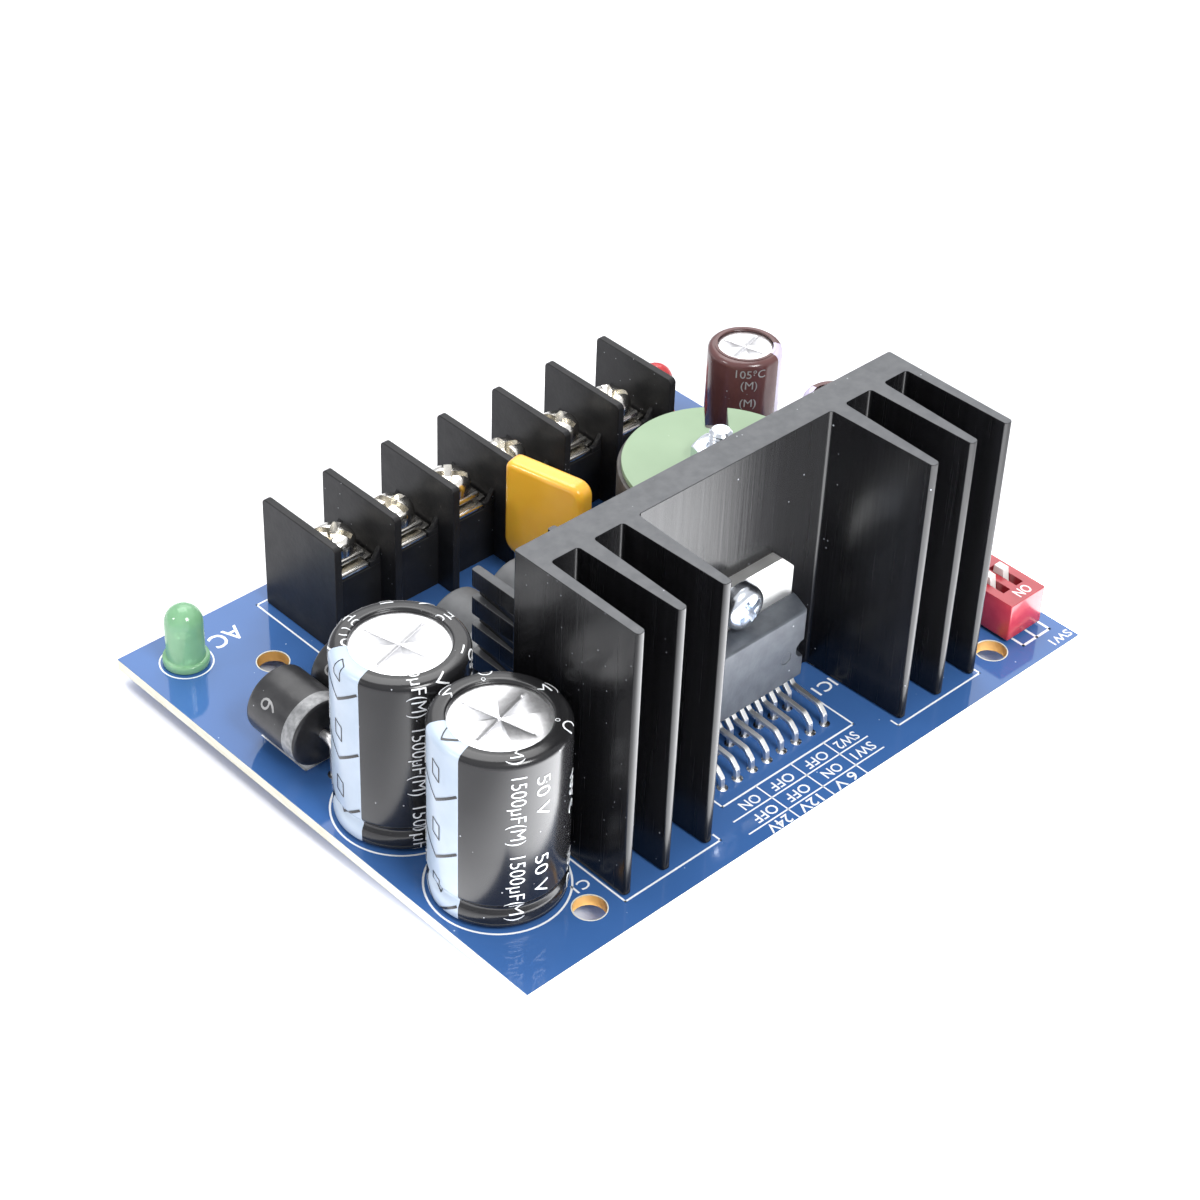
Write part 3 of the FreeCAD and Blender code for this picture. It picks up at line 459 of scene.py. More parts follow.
def legend_piece():
    """White print on the board: outlines of the parts, their names and the table of settings."""
    bm = bmesh.new()
    front = 180      # text that reads along -X
    outline(bm, [(18.0, 23.6), (18.0, 3.44), (33.3, 3.44), (33.3, 4.6)])
    outline(bm, [(79.6, 23.6), (79.6, 3.44), (64.3, 3.44), (64.3, 4.6)])
    outline(bm, [(37.5, 17.0), (37.5, 7.29), (60.3, 7.29), (60.3, 17.0)])
    line(bm, 64.9, 18.2, 64.9, 19.3)
    line(bm, 36.7, 4.6, 59.9, 4.6, 0.2)
    line(bm, 36.6, 1.93, 59.9, 1.93, 0.2)
    for x in (54.95, 49.14, 43.12):
        line(bm, x, 0.1, x, 7.2, 0.2)
    rows = ((5.85, ("SW2", "OFF", "OFF", "ON")), (3.25, ("SW1", "ON", "OFF", "OFF")), (0.95, ("", "6 V", "12V", "24V")))
    for y, words in rows:
        for word, x in zip(words, (57.45, 52.05, 46.1, 40.6)):
            if word:
                letters(word, 1.5, place(x, y, 0, front), bm, 2.9 if word == "ON" else 3.6)
    outline(bm, [(88.07, 5.1), (88.07, 3.35), (93.25, 3.35), (93.25, 5.1)], 0.36)
    line(bm, 90.7, 3.35, 90.7, 5.1, 0.36)
    letters("SW1", 1.35, place(92.86, 1.4, 0, front), bm, 3.6)
    outline(bm, [(19.7, 60.5), (19.7, 73.5), (24.0, 73.5)])
    outline(bm, [(79.9, 60.5), (79.9, 73.5), (76.0, 73.5)])
    letters("AC", 2.7, place(12.8, 71.0, 0, front), bm, 4.5)
    letters("C1", 1.5, place(15.8, 8.7, 0, front), bm, 2.2)
    letters("C2", 1.5, place(19.6, 32.2, 0, front), bm, 2.2)
    letters("C3", 1.5, place(81.2, 55.0, 0, front), bm, 2.2)
    letters("C4", 1.5, place(82.4, 33.0, 0, front), bm, 2.2)
    letters("IC1", 1.85, place(62.7, 14.6, 0, front), bm, 3.3)
    letters("L1", 1.5, place(84.0, 45.5, 0, front), bm, 2.2)
    letters("F1", 1.5, place(55.6, 56.6, 0, front), bm, 2.2)
    letters("Q1", 1.5, place(24.9, 34.5, 0, front), bm, 2.2)
    for number, (x, y) in enumerate(DIODES, 1):
        left, right, front_y = x - 2.2, x + 2.2, y + 0.75
        outline(bm, [(left, y + 9.2), (left, front_y), (right, front_y), (right, y + 9.2)], 0.2)
        slab(bm, [(left, front_y), (right, front_y), (right, front_y + 2.1), (left, front_y + 2.1)], -0.02, 0.012)
        if number > 2:
            letters(f"D{number}", 1.5, place(x, y + 13.4, 0, front), bm, 2.2)
    for x, y, r in ((*CAP_PLACES[0], 8.5), (*CAP_PLACES[1], 8.5), (*CAP_PLACES[2], 5.5), (*CAP_PLACES[3], 4.5)):
        ring(bm, x, y, r)
    ring(bm, 6.2, 70.2, 3.35, 0.2, 48)
    ring(bm, 88.0, 71.0, 3.35, 0.2, 48)
    for word, k in (("L", 0), ("N", 1), ("+", 3), ("-", 5)):
        letters(word, 1.8, place(WAYS[k], 75.0, 0, front), bm)
    piece("legend", bm, "board", ink)


# Heatsinks and packages

SINK_X, SINK_FRONT, SINK_FACE, SINK_BACK = 48.8, 3.95, 19.3, 23.5
SINK_Z = (0.2, 38.3)
REG_HOLE_Z = 18.7


def show_cut(bm):
    """Gives the second material to the faces that the saw left, at the top and the bottom."""
    bm.normal_update()
    for face in bm.faces:
        if abs(face.normal.z) > 0.9:
            face.material_index = 1


def main_heatsink_piece():
    half = 30.5
    points, radii = [], []
    def corner(x, y, r):
        points.append((SINK_X + x, y))
        radii.append(r)
    corner(-half, SINK_BACK, 0.35)
    corner(-half, SINK_FRONT, 0.5)
    corner(-half + 1.2, SINK_FRONT, 0.5)
    corner(-half + 1.6, SINK_FACE, 0.5)
    for x in (-23.7, -16.9, 16.9, 23.7):
        corner(x - 1.15, SINK_FACE, 0.5)
        corner(x - 0.6, SINK_FRONT, 0.5)
        corner(x + 0.6, SINK_FRONT, 0.5)
        corner(x + 1.15, SINK_FACE, 0.5)
    corner(half - 1.6, SINK_FACE, 0.5)
    corner(half - 1.2, SINK_FRONT, 0.5)
    corner(half, SINK_FRONT, 0.5)
    corner(half, SINK_BACK, 0.35)
    bm = bmesh.new()
    slab(bm, rounded([(*p, 0) for p in points], radii, 5), *SINK_Z)
    bore = rod(1.55, -1, 6, 24, place(SINK_X, SINK_FACE, REG_HOLE_Z, 0, "y"))
    bm = carve(bm, bore)
    show_cut(bm)
    piece("finned_heatsink", bm, "board", [drawn_black, sawn_black], ["main_heatsink"], 0.10, 2, 50)


REG_PATHS = {
    "front": [(16.2, 4.9), (16.2, 3.7), (15.3, 2.7), (10.97, 2.4), (9.92, 1.4), (9.67, BOTTOM)],
    "rear": [(16.2, 4.9), (16.2, 4.0), (14.75, 2.4), (14.75, BOTTOM)],
}


def package_tab(name, x, half, z0, z1, y0, y1, corner, hole_z, hole_r, node):
    outline_points = [(x - half, z0, 0), (x - half, z1 - corner, 0), (x - half + corner, z1, 0),
                      (x + half - corner, z1, 0), (x + half, z1 - corner, 0), (x + half, z0, 0)]
    bm = bmesh.new()
    slab(bm, rounded(outline_points, 0.3, 3), y0, y1, "xz")
    bm = carve(bm, rod(hole_r, -1, y1 - y0 + 1, 40, place(x, y0, hole_z, 0, "y")))
    piece(name, bm, "board", tab_metal, [node], 0.08, 2)


def regulator_pieces():
    package_tab("regulator_plate", SINK_X, 9.75, 4.8, 21.5, 17.7, 19.3, 2.2, REG_HOLE_Z, 1.85, "regulator_tab")

    def front_outline(half, y, z0, z1):
        notch = 2.0 - (10.1 - half) * 0.6
        arc = [(half - notch * math.sin(a), 9.25 - notch * math.cos(a)) for a in
               [math.pi * k / 12 for k in range(13)]]
        right = [(half, z0)] + arc + [(half, z1)]
        return [(SINK_X + x, y, z) for x, z in right] + [(SINK_X - x, y, z) for x, z in reversed(right)]

    bm = bmesh.new()
    loft(bm, [front_outline(10.1, 17.7, 4.8, 15.1), front_outline(10.0, 17.0, 4.8, 15.1),
              front_outline(9.1, 14.45, 4.9, 15.0), front_outline(8.85, 14.25, 5.1, 14.8)])
    marks = [rod(0.85, -1, 0.16, 32, place(SINK_X + s * 5.95, 14.25, 9.0, 0, "y")) for s in (-1, 1)]
    bm = carve(bm, *marks)
    piece("regulator_package", bm, "board", epoxy, ["regulator_body"], 0.07, 2)

    bm = bmesh.new()
    for k in range(15):
        x = SINK_X + (k - 7) * 1.27
        way = "rear" if k % 2 else "front"
        ribbon(bm, x, REG_PATHS[way], 0.7, 0.5, 0.7)
        note(x, REG_PATHS[way][-1][0], 0.7, 0.5)
    piece("regulator_lead_rows", bm, "board", tin, ["regulator_leads"], 0.07, 2)


def pan_head(radius, height, shank_r, below, pitch=0.5, recess=1.3, arm=0.9, span=3.6):
    """A screw standing head up with the head's underside at z = 0."""
    bm = bmesh.new()
    lathe(bm, [(0.01, 0), (radius - 0.12, 0), (radius, 0.15), (radius, height * 0.45), (radius * 0.97, height * 0.62),
               (radius * 0.88, height * 0.80), (radius * 0.72, height * 0.93), (radius * 0.45, height * 0.99),
               (0.01, height)], 56)
    tools = []
    for turn in (0, 90):
        tool = bmesh.new()
        m = place(0, 0, 0, turn)
        top = [(-span / 2, -arm / 2), (span / 2, -arm / 2), (span / 2, arm / 2), (-span / 2, arm / 2)]
        deep = [(x * 0.62, y * 0.62) for x, y in top]
        loft(tool, [[(x, y, height - recess) for x, y in deep], [(x, y, height - recess * 0.15) for x, y in top],
                    [(x, y, height + 0.5) for x, y in top]], at=m)
        tools.append(tool)
    bm = carve(bm, *tools)
    profile = [(0.01, 0.1), (shank_r, 0.1)]
    z = 0.0
    while z - pitch > -below + 0.3:
        profile += [(shank_r, z), (shank_r - 0.16, z - pitch / 2)]
        z -= pitch
    profile += [(shank_r, z), (shank_r - 0.35, -below), (0.01, -below)]
    lathe(bm, profile, 28)
    return bm


def set_at(bm, m):
    bm.transform(m)
    return bm


def hex_nut(across, height, bore_r, at=Matrix()):
    """A hex nut on its face, with the corners of its other face turned off."""
    bm = bmesh.new()
    count = 72
    turns = [2 * math.pi * k / count for k in range(count)]
    flat = across / 2
    reach = [flat / math.cos((a % (math.pi / 3)) - math.pi / 6) for a in turns]
    r0 = flat * 0.97
    drop = [max(0.0, r - r0) * 0.55 for r in reach]

    def circle(r, z):
        return [(r * math.cos(a), r * math.sin(a), z) for a in turns]

    loft(bm, [circle(bore_r, 0.25), circle(bore_r + 0.25, 0),
              [(r0 * math.cos(a), r0 * math.sin(a), 0) for a in turns],
              [(r * math.cos(a), r * math.sin(a), d) for a, r, d in zip(turns, reach, drop)],
              [(r * math.cos(a), r * math.sin(a), height - d) for a, r, d in zip(turns, reach, drop)],
              circle(r0, height), circle(bore_r + 0.25, height), circle(bore_r, height - 0.25), circle(bore_r, 0.25)],
         caps=False, at=at)
    return bm


def small_heatsink_piece():
    x0, x1, y0, sheet = 27.4, 40.8, 28.2, 1.27
    z0, z1, root, back = 1.95, 21.0, 31.2, 40.9
    points = [(x0, root, 0), (x0, y0, 0), (x1, y0, 0), (x1, root, 0), (x1 - sheet, root, 0),
              (x1 - sheet, y0 + sheet, 0), (x0 + sheet, y0 + sheet, 0), (x0 + sheet, root, 0)]
    bm = bmesh.new()
    slab(bm, rounded(points, [0, 1.3, 1.3, 0, 0, 0.35, 0.35, 0], 4), z0, z1)
    bm = carve(bm, rod(1.6, -1, sheet + 1, 24, place(34.1, y0, 17.3, 0, "y")))
    height, gap = 2.55, 1.575
    for side in (-1, 1):
        outer = x0 if side < 0 else x1 - sheet
        for k in range(5):
            low = z0 + k * (height + gap)
            ends = [(outer, root - 0.02, 0), (outer + sheet, root - 0.02, 0), (outer + sheet, back, 0),
                    (outer, back, 0)]
            slab(bm, rounded(ends, [0, 0, 0.35, 0.35], 3), low, low + height)
            if k < 4:
                low += height + 0.25
                lean = -side * 0.8
                ends = [(outer, root - 0.02, 0), (outer + sheet, root - 0.02, 0), (outer + sheet + lean, back - 0.5, 0),
                        (outer + lean, back - 0.5, 0)]
                slab(bm, rounded(ends, [0, 0, 0.35, 0.35], 3), low, low + gap - 0.5)
    for side in (-1, 1):
        block(bm, 34.1 + side * 5.0, y0 + sheet / 2, BOTTOM, z0 + 0.3, 1.6, sheet)
        note(34.1 + side * 5.0, y0 + sheet / 2, 1.6, sheet)
    bmesh.ops.recalc_face_normals(bm, faces=bm.faces)
    show_cut(bm)
    piece("slotted_heatsink", bm, "board", [drawn_black, sawn_black], ["small_heatsink"], 0.12, 2, 40)


def rectifier_pieces():
    cx, back = 34.1, 29.47
    package_tab("rectifier_plate", cx, 5.1, 4.6, 20.0, back, back + 1.3, 1.6, 17.3, 1.9, "rectifier_tab")
    bm = bmesh.new()
    profile = [(back + 1.3, 4.6), (back + 4.5, 4.95), (back + 4.5, 13.25), (back + 1.3, 13.6)]
    slab(bm, profile, cx - 5.1, cx + 5.1, "yz")
    piece("rectifier_package", bm, "board", epoxy, ["rectifier_body"], 0.15, 2)
    bm = bmesh.new()
    for k in (-1, 0, 1):
        x = cx + k * 2.54
        block(bm, x, back + 2.6, 3.0, 4.7, 1.2, 0.5)
        block(bm, x, back + 2.6, BOTTOM, 3.1, 0.8, 0.5)
        note(x, back + 2.6, 0.8, 0.5)
    piece("rectifier_legs", bm, "board", tin, ["rectifier_leads"], 0.06, 2)
    screw = set_at(pan_head(2.8, 2.3, 1.45, 5.5), place(cx, back + 1.3, 17.3, 20, "y"))
    piece("rectifier_fixing", screw, "board", zinc, ["rectifier_screw"])
    nut = hex_nut(5.5, 2.4, 1.5, place(cx, back - 1.27, 17.3, 10, "-y"))
    piece("rectifier_hex_nut", nut, "board", zinc, ["rectifier_nut"])
    screw = set_at(pan_head(3.0, 2.3, 1.5, 5.6), place(SINK_X, 17.7, REG_HOLE_Z, 28, "-y"))
    piece("regulator_fixing", screw, "board", zinc, ["regulator_screw"])


# Inductor

CORE_X, CORE_Y, CORE_Z0, CORE_MID, CORE_Z1 = 69.1, 40.7, 0.4, 8.45, 16.5
SLOT_TURN = 46.6


def inductor_pieces():
    at = place(CORE_X, CORE_Y)
    for name, node, low, high, closed_end in (("core_cup_lower", "inductor_core_lower", CORE_Z0, CORE_MID, CORE_Z0),
                                              ("core_cup_upper", "inductor_core_upper", CORE_MID, CORE_Z1, CORE_Z1)):
        bm = bmesh.new()
        if closed_end == low:
            profile = [(1.9, low), (12.95, low), (12.95, high), (10.6, high), (10.6, low + 2.6), (5.6, low + 2.6),
                       (5.6, high), (1.9, high)]
        else:
            profile = [(1.9, low), (5.6, low), (5.6, high - 2.6), (10.6, high - 2.6), (10.6, low), (12.95, low),
                       (12.95, high), (1.9, high)]
        lathe(bm, profile, 96, at, True)
        tools = [brick(9.4, 14.5, -1.5, 1.5, low - 1, high + 1, at=at @ place(turn=SLOT_TURN + t)) for t in (0, 180)]
        bm = carve(bm, *tools)
        piece(name, bm, "board", ferrite, [node], 0.16, 2, 50)
    bm = bmesh.new()
    profile = [(6.0, 3.1)]
    rows = 18
    step = (13.8 - 3.1) / rows
    for k in range(rows):
        z = 3.1 + k * step
        profile += [(9.85, z), (10.15, z + step * 0.25), (10.15, z + step * 0.75)]
    profile += [(9.85, 13.8), (6.0, 13.8)]
    lathe(bm, profile, 64, at, True)
    for t in (0, 180):
        a = math.radians(SLOT_TURN + t)
        x, y = CORE_X + 10.3 * math.cos(a), CORE_Y + 10.3 * math.sin(a)
        tube(bm, [(x, y, BOTTOM), (x, y, 6.5), (x - 0.8 * math.cos(a), y - 0.8 * math.sin(a), 7.3)], 0.5, 12, 0.5)
        note(x, y, 1.0, 1.0)
    piece("core_winding", bm, "board", copper, ["inductor_coil"], angle=50)

    bm = bmesh.new()
    lathe(bm, [(1.9, 16.5), (12.45, 16.5), (12.45, 17.3), (1.9, 17.3)], 112, at, True)
    notch = bmesh.new()
    slab(notch, rounded([(7.5, -1.5, 0), (14, -1.5, 0), (14, 1.5, 0), (7.5, 1.5, 0)], [0.5, 0, 0, 0.5], 5), 15, 19,
         at=at @ place(turn=SLOT_TURN))
    bm = carve(bm, notch)
    piece("core_disc", bm, "board", green_sheet, ["inductor_disc"], 0.10, 2, 50)
    screw = set_at(pan_head(3.0, 2.0, 1.5, 23.9, recess=1.1), place(CORE_X, CORE_Y, BOTTOM, 35) @ Matrix.Rotation(
        math.pi, 4, "X"))
    piece("core_fixing", screw, "board", zinc, ["inductor_screw"])
    nut = hex_nut(6.35, 2.4, 1.5, place(CORE_X, CORE_Y, 17.3, 12))
    piece("core_hex_nut", nut, "board", zinc, ["inductor_nut"])


# Capacitors

CAP_PLACES = ((9.35, 15.45), (9.35, 32.25), (88.05, 54.7), (88.05, 38.6))


def sleeve_profile(outer, height, bare, grooved):
    """The sleeve's outer side from its foot to the edge of the bare metal on top."""
    points = [(outer - 1.3, 0.3), (outer - 0.35, 0.34), (outer - 0.05, 0.65)]
    if grooved:
        points += [(outer, 1.4), (outer, 2.2), (outer - 0.14, 2.6), (outer - 0.38, 2.95), (outer - 0.45, 3.2),
                   (outer - 0.38, 3.45), (outer - 0.14, 3.8), (outer, 4.2)]
    shoulder = 0.9
    points.append((outer, height - shoulder - 0.1))
    for k in range(1, 7):
        a = math.pi / 2 * k / 6
        points.append((outer - shoulder + shoulder * math.cos(a), height - shoulder - 0.1 + shoulder * math.sin(a)))
    points += [(outer - 1.3, height - 0.02), (bare + 0.25, height), (bare + 0.05, height - 0.06),
               (bare, height - 0.2)]
    return points


def along_profile(points):
    """Lengths along the sleeve's outer side, measured from the bare metal outwards and down."""
    back = points[::-1]
    reach = [0.0]
    for p, q in zip(back, back[1:]):
        reach.append(reach[-1] + math.hypot(q[0] - p[0], q[1] - p[1]))
    return back, reach


def cut_off(bm, where, keep_above):
    """Cuts a mesh across X and closes the cut."""
    parts = bm.verts[:] + bm.edges[:] + bm.faces[:]
    cut = bmesh.ops.bisect_plane(bm, geom=parts, dist=1e-5, plane_co=(where, 0, 0), plane_no=(1, 0, 0),
                                 clear_inner=keep_above, clear_outer=not keep_above)
    edges = [e for e in cut["geom_cut"] if isinstance(e, bmesh.types.BMEdge)]
    if edges:
        bmesh.ops.holes_fill(bm, edges=edges, sides=0)


def wrap(bm, points, x, y, centre_turn):
    """Bends flat print on to a sleeve: its X runs down the side from the top's edge, its Y round it."""
    back, reach = along_profile(points)
    outer = max(r for r, z in points)
    cut_off(bm, 0.12, True)
    cut_off(bm, reach[-1] - 0.9, False)
    long_edges = [e for e in bm.edges if e.calc_length() > 0.7]
    if long_edges:
        bmesh.ops.subdivide_edges(bm, edges=long_edges, cuts=3)
    bmesh.ops.triangulate(bm, faces=bm.faces)
    for v in bm.verts:
        s, t, h = v.co.x, v.co.y, v.co.z
        k = max(i for i in range(len(reach) - 1) if reach[i] <= max(s, 0.0))
        share = (s - reach[k]) / (reach[k + 1] - reach[k])
        p, q = Vector(back[k]), Vector(back[k + 1])
        spot = p.lerp(q, share)
        step = (q - p).normalized()
        normal = Vector((-step.y, step.x))
        if normal.x + normal.y < 0:
            normal = -normal
        spot += normal * (h + 0.03)
        a = math.radians(centre_turn) + t / outer
        v.co = Vector((x + spot.x * math.cos(a), y + spot.x * math.sin(a), spot.y))
    return bm


def flat_line(bm, a, b, width=0.22):
    a, b = Vector(a), Vector(b)
    along = (b - a).normalized() * (width / 2)
    side = Vector((-along.y, along.x))
    steps = max(1, round((b - a).length / 0.5))
    for k in range(steps):
        p, q = a.lerp(b, k / steps), a.lerp(b, (k + 1) / steps)
        slab(bm, [p + side, q + side, q - side, p - side], 0.0, 0.02)


def merge(into, part):
    mesh = bpy.data.meshes.new("part")
    part.to_mesh(mesh)
    part.free()
    into.from_mesh(mesh)
    bpy.data.meshes.remove(mesh)


PRINT_PERIOD = 11.6
PRINT_START = (8.68, 12.9)        # middle of the first whole line on each large sleeve, from the top's edge
PRINT_COLUMNS = (("1500µF(M)", 9.8, 242.6, 0.0), ("50 V", 5.8, 263.6, -1.2), ("105°C", 5.4, 306, 2.5),
                 ("1500µF(M)", 9.8, 0, 0.0), ("50 V", 5.8, 24, -1.2), ("105°C", 5.4, 60, 2.5),
                 ("1500µF(M)", 9.8, 104, 0.0), ("105°C", 5.4, 122, -3.0), ("50 V", 5.8, 139, -0.5))
CHEVRONS = ((1.6, 10.3, 18.8, 27.0), (6.7, 15.5, 23.9))
STRIPE = (170, 24)


def cap_print(number, profile, x, y):
    """The rating repeated along the sleeve, in columns round it."""
    bm = bmesh.new()
    for words, length, turn, shift in PRINT_COLUMNS:
        for row in (-1, 0, 1, 2):
            middle = PRINT_START[number] + shift + row * PRINT_PERIOD
            if middle + length / 2 > 0.6 and middle - length / 2 < 26:
                part = letters(words, 1.9, place(middle, 0), None, length, 0.008, -0.014)
                merge(bm, wrap(part, profile, x, y, turn + 1.5 * number))
    piece(f"cap_{number + 1}_print", bm, "board", ink)


def stripe_marks(number, profile, x, y):
    """Arrow heads that point down the stripe, and a sloping outlined bar between each two."""
    bm = bmesh.new()
    reach = 3.35
    for s in CHEVRONS[number]:
        part = bmesh.new()
        flat_line(part, (s, 0), (s - 2.5, reach), 0.34)
        merge(bm, wrap(part, profile, x, y, STRIPE[0]))
        part = bmesh.new()
        flat_line(part, (s, 0), (s - 2.9, -reach), 0.16)
        merge(bm, wrap(part, profile, x, y, STRIPE[0]))
        part = bmesh.new()
        corners = [(s - 5.5, -0.65), (s - 5.0, 0.65), (s - 2.9, 0.65), (s - 3.4, -0.65), (s - 5.5, -0.65)]
        for p, q in zip(corners, corners[1:]):
            flat_line(part, p, q, 0.14)
        merge(bm, wrap(part, profile, x, y, STRIPE[0]))
    piece(f"cap_{number + 1}_stripe_marks", bm, "board", black_film)


def slim_print(number, profile, x, y):
    """Short rows of figures across a small sleeve."""
    bm = bmesh.new()
    for turn in (232, 52):
        for s, words in ((3.3, "105°C"), (5.0, "(M)"), (7.8, "(M)"), (10.6, "105°C"), (12.3, "(M)"), (15.1, "(M)")):
            part = letters(words, 1.25, place(s, 0, 0, 90), None, None, 0.008, 0)
            merge(bm, wrap(part, profile, x, y, turn))
    piece(f"cap_{number + 1}_print", bm, "board", faint_ink)


def capacitor_pieces():
    large = sleeve_profile(8.1, 24.9, 5.9, True)
    slim = {2: sleeve_profile(5.05, 20.3, 3.9, False), 3: sleeve_profile(4.05, 20.3, 3.1, False)}
    films = {0: (black_film, stripe_film, "black_sleeve", *STRIPE), 1: (black_film, stripe_film, "black_sleeve", *STRIPE),
             2: (brown_film, lilac_film, "brown_sleeve", 305, 20), 3: (brown_film, lilac_film, "brown_sleeve", 120, 20)}
    lead_mesh = bmesh.new()
    for k, (x, y) in enumerate(CAP_PLACES):
        film, stripe, slot_name, stripe_turn, stripe_half = films[k]
        profile = large if k < 2 else slim[k]
        outer = profile[-1][0] + 2.2 if k < 2 else (5.05 if k == 2 else 4.05)
        height = 24.9 if k < 2 else 20.3
        bare = profile[-1][0]
        segments = 120
        inner = outer - (0.75 if k < 2 else 0.3)
        closed = profile + [(bare, height - 0.45), (inner, height - 0.45), (inner, 0.6), (outer - 1.3, 0.5)]

        def in_stripe(j, i):
            turn = (360 * (i - 0.5) / segments - stripe_turn + 180) % 360 - 180
            return 1 if abs(turn) < stripe_half and j < len(profile) - 1 else 0

        bm = bmesh.new()
        lathe(bm, closed, segments, place(x, y), True, in_stripe)
        piece(f"cap_{k + 1}_film", bm, "board", [film, stripe], [f"capacitor_{k + 1}_sleeve"], angle=60)
        bm = bmesh.new()
        top = height - 0.42
        lathe(bm, [(0.01, 0.35), (inner - 0.1, 0.35), (inner - 0.1, top - 0.6), (bare + 0.1, top - 0.1),
                   (bare - 0.5, top), (0.01, top)], 72, place(x, y))
        scores = []
        for turn in (15, 105, 195, 285):
            score = bmesh.new()
            slab(score, [(-0.42, 0.2), (0.42, 0.2), (0.0, -0.25)], 0.12, bare * 0.76, "yz",
                 at=place(x, y, top, turn))
            scores.append(score)
        bm = carve(bm, *scores)
        piece(f"cap_{k + 1}_metal", bm, "board", can_metal, [f"capacitor_{k + 1}_can"], angle=50)
        pitch = (7.5, 7.5, 5.0, 3.5)[k]
        for side in (-1, 1):
            tube(lead_mesh, [(x + side * pitch / 2, y, BOTTOM), (x + side * pitch / 2, y, 0.5)], 0.4)
            note(x + side * pitch / 2, y, 0.8, 0.8)
        if k < 2:
            cap_print(k, profile, x, y)
            stripe_marks(k, profile, x, y)
        else:
            slim_print(k, profile, x, y)
    piece("cap_wires", lead_mesh, "board", tin, ["capacitor_leads"])


# Diodes, fuse, lamps

FIGURE_TURN = 143
DIODES = ((6.9, 43.8), (16.5, 43.8), (32.8, 41.3), (42.4, 41.3))


def diode_pieces():
    leads = bmesh.new()
    rings = [(0.01, 0), (3.95, 0), (4.3, 0.1), (4.5, 0.3), (4.55, 0.6), (4.55, 2.2), (4.55, 6.9), (4.55, 8.5),
             (4.5, 8.8), (4.3, 9.0), (3.95, 9.1), (0.01, 9.1)]
    for k, (x, y) in enumerate(DIODES):
        bm = bmesh.new()
        lathe(bm, rings, 72, place(x, y, 5.05, 0, "y"), False, lambda j, i: 1 if j in (3, 4) else 0)
        # D3 and D4 take the lighter body, its grey a painted reflection.
        body = diode_epoxy if k < 2 else reflection_lit_epoxy
        piece(f"rectifier_diode_{k + 1}", bm, "board", [body, band_ink], [f"diode_{k + 1}"],
              angle=50)
        figure = letters("6", 2.7, Matrix(), None, None, 0.008, -0.01)
        for v in figure.verts:
            a = math.radians(FIGURE_TURN) + v.co.x / 4.55
            reach = 4.58 + v.co.z
            v.co = Vector((x + reach * math.cos(a), y + 5.75 - v.co.y, 5.05 + reach * math.sin(a)))
        piece(f"diode_{k + 1}_figure", figure, "board", faint_ink)
        for start, way in ((y, -1), (y + 9.1, 1)):
            end = start + way * 2.1
            tube(leads, [(x, start - way * 0.3, 5.05), (x, end, 5.05), (x, end, BOTTOM)], 0.6, 16, 1.1)
            note(x, end, 1.2, 1.2)
    piece("diode_wires", leads, "board", tin, ["diode_leads"], angle=50)


def fuse_pieces():
    at = place(50.35, 52.2, 0, 13.2)
    bm = bmesh.new()
    thick, edge = 1.5, 0.8
    arc = [math.pi / 2 * k / 5 for k in range(6)]
    side = [(thick - edge + edge * math.cos(a), edge * (1 - math.sin(a))) for a in arc]
    rings = []
    for x, inset in [(-x, inset) for x, inset in side] + side[::-1]:
        half, z0, z1 = 5.9 - inset, 4.1 + inset, 18.3 - inset
        corners = [(x, -half, z0), (x, half, z0), (x, half, z1), (x, -half, z1)]
        rings.append(rounded(corners, [2.2 - inset * 0.6, 2.2 - inset * 0.6, 1.1 - inset * 0.6, 1.9 - inset * 0.6], 8))
    loft(bm, rings, at=at)
    piece("fuse_disc", bm, "board", amber_coat, ["fuse_body"], angle=60)
    bm = bmesh.new()
    for side in (-1, 1):
        p = at @ Vector((0, side * 2.55, 0))
        tube(bm, [(p.x, p.y, BOTTOM), (p.x, p.y, 5.4)], 0.4, 16)
        lathe(bm, [(0.42, 2.9), (0.75, 3.5), (0.95, 4.4)], 20, place(p.x, p.y))
        note(p.x, p.y, 0.8, 0.8)
    piece("fuse_wires", bm, "board", tin, ["fuse_leads"])


def lamp_pieces():
    wires = bmesh.new()
    for name, node, x, y, lens, slot_name in (("green_lamp_lens", "green_lamp", 6.2, 70.2, green_lens, "green_lens"),
                                              ("red_lamp_lens", "red_lamp", 88.0, 71.0, red_lens, "red_lens")):
        bm = bmesh.new()
        dome = [(2.45 * math.cos(math.pi / 2 * k / 10), 6.35 + 2.45 * math.sin(math.pi / 2 * k / 10))
                for k in range(10)]
        lathe(bm, [(0.01, 0.2), (2.85, 0.2), (2.95, 0.3), (2.95, 1.1), (2.85, 1.2), (2.5, 1.25), (2.45, 1.4)] + dome
              + [(0.01, 8.8)], 56, place(x, y))
        piece(name, bm, "board", lens, [node], angle=50)
        frame_mesh = bmesh.new()
        for side, width in ((-1, 1.5), (1, 0.9)):
            block(frame_mesh, x + side * 0.75, y, 0.6, 4.4, width * 0.6, 0.45)
        lathe(frame_mesh, [(0.3, 4.2), (0.95, 4.4), (1.0, 5.0), (0.8, 5.0), (0.4, 4.6), (0.01, 4.6)], 24,
              place(x - 0.6, y))
        piece(name.replace("lens", "frame"), frame_mesh, "board", tin)
        for side in (-1, 1):
            block(wires, x + side * 1.27, y, BOTTOM, 0.5, 0.5, 0.5)
            note(x + side * 1.27, y, 0.5, 0.5)
    piece("lamp_wires", wires, "board", tin, ["lamp_leads"])


# Terminal block

WAYS = [26.3625 + 9.525 * k for k in range(6)]
WAY_Y = 65.9
TONGUE = 2.6


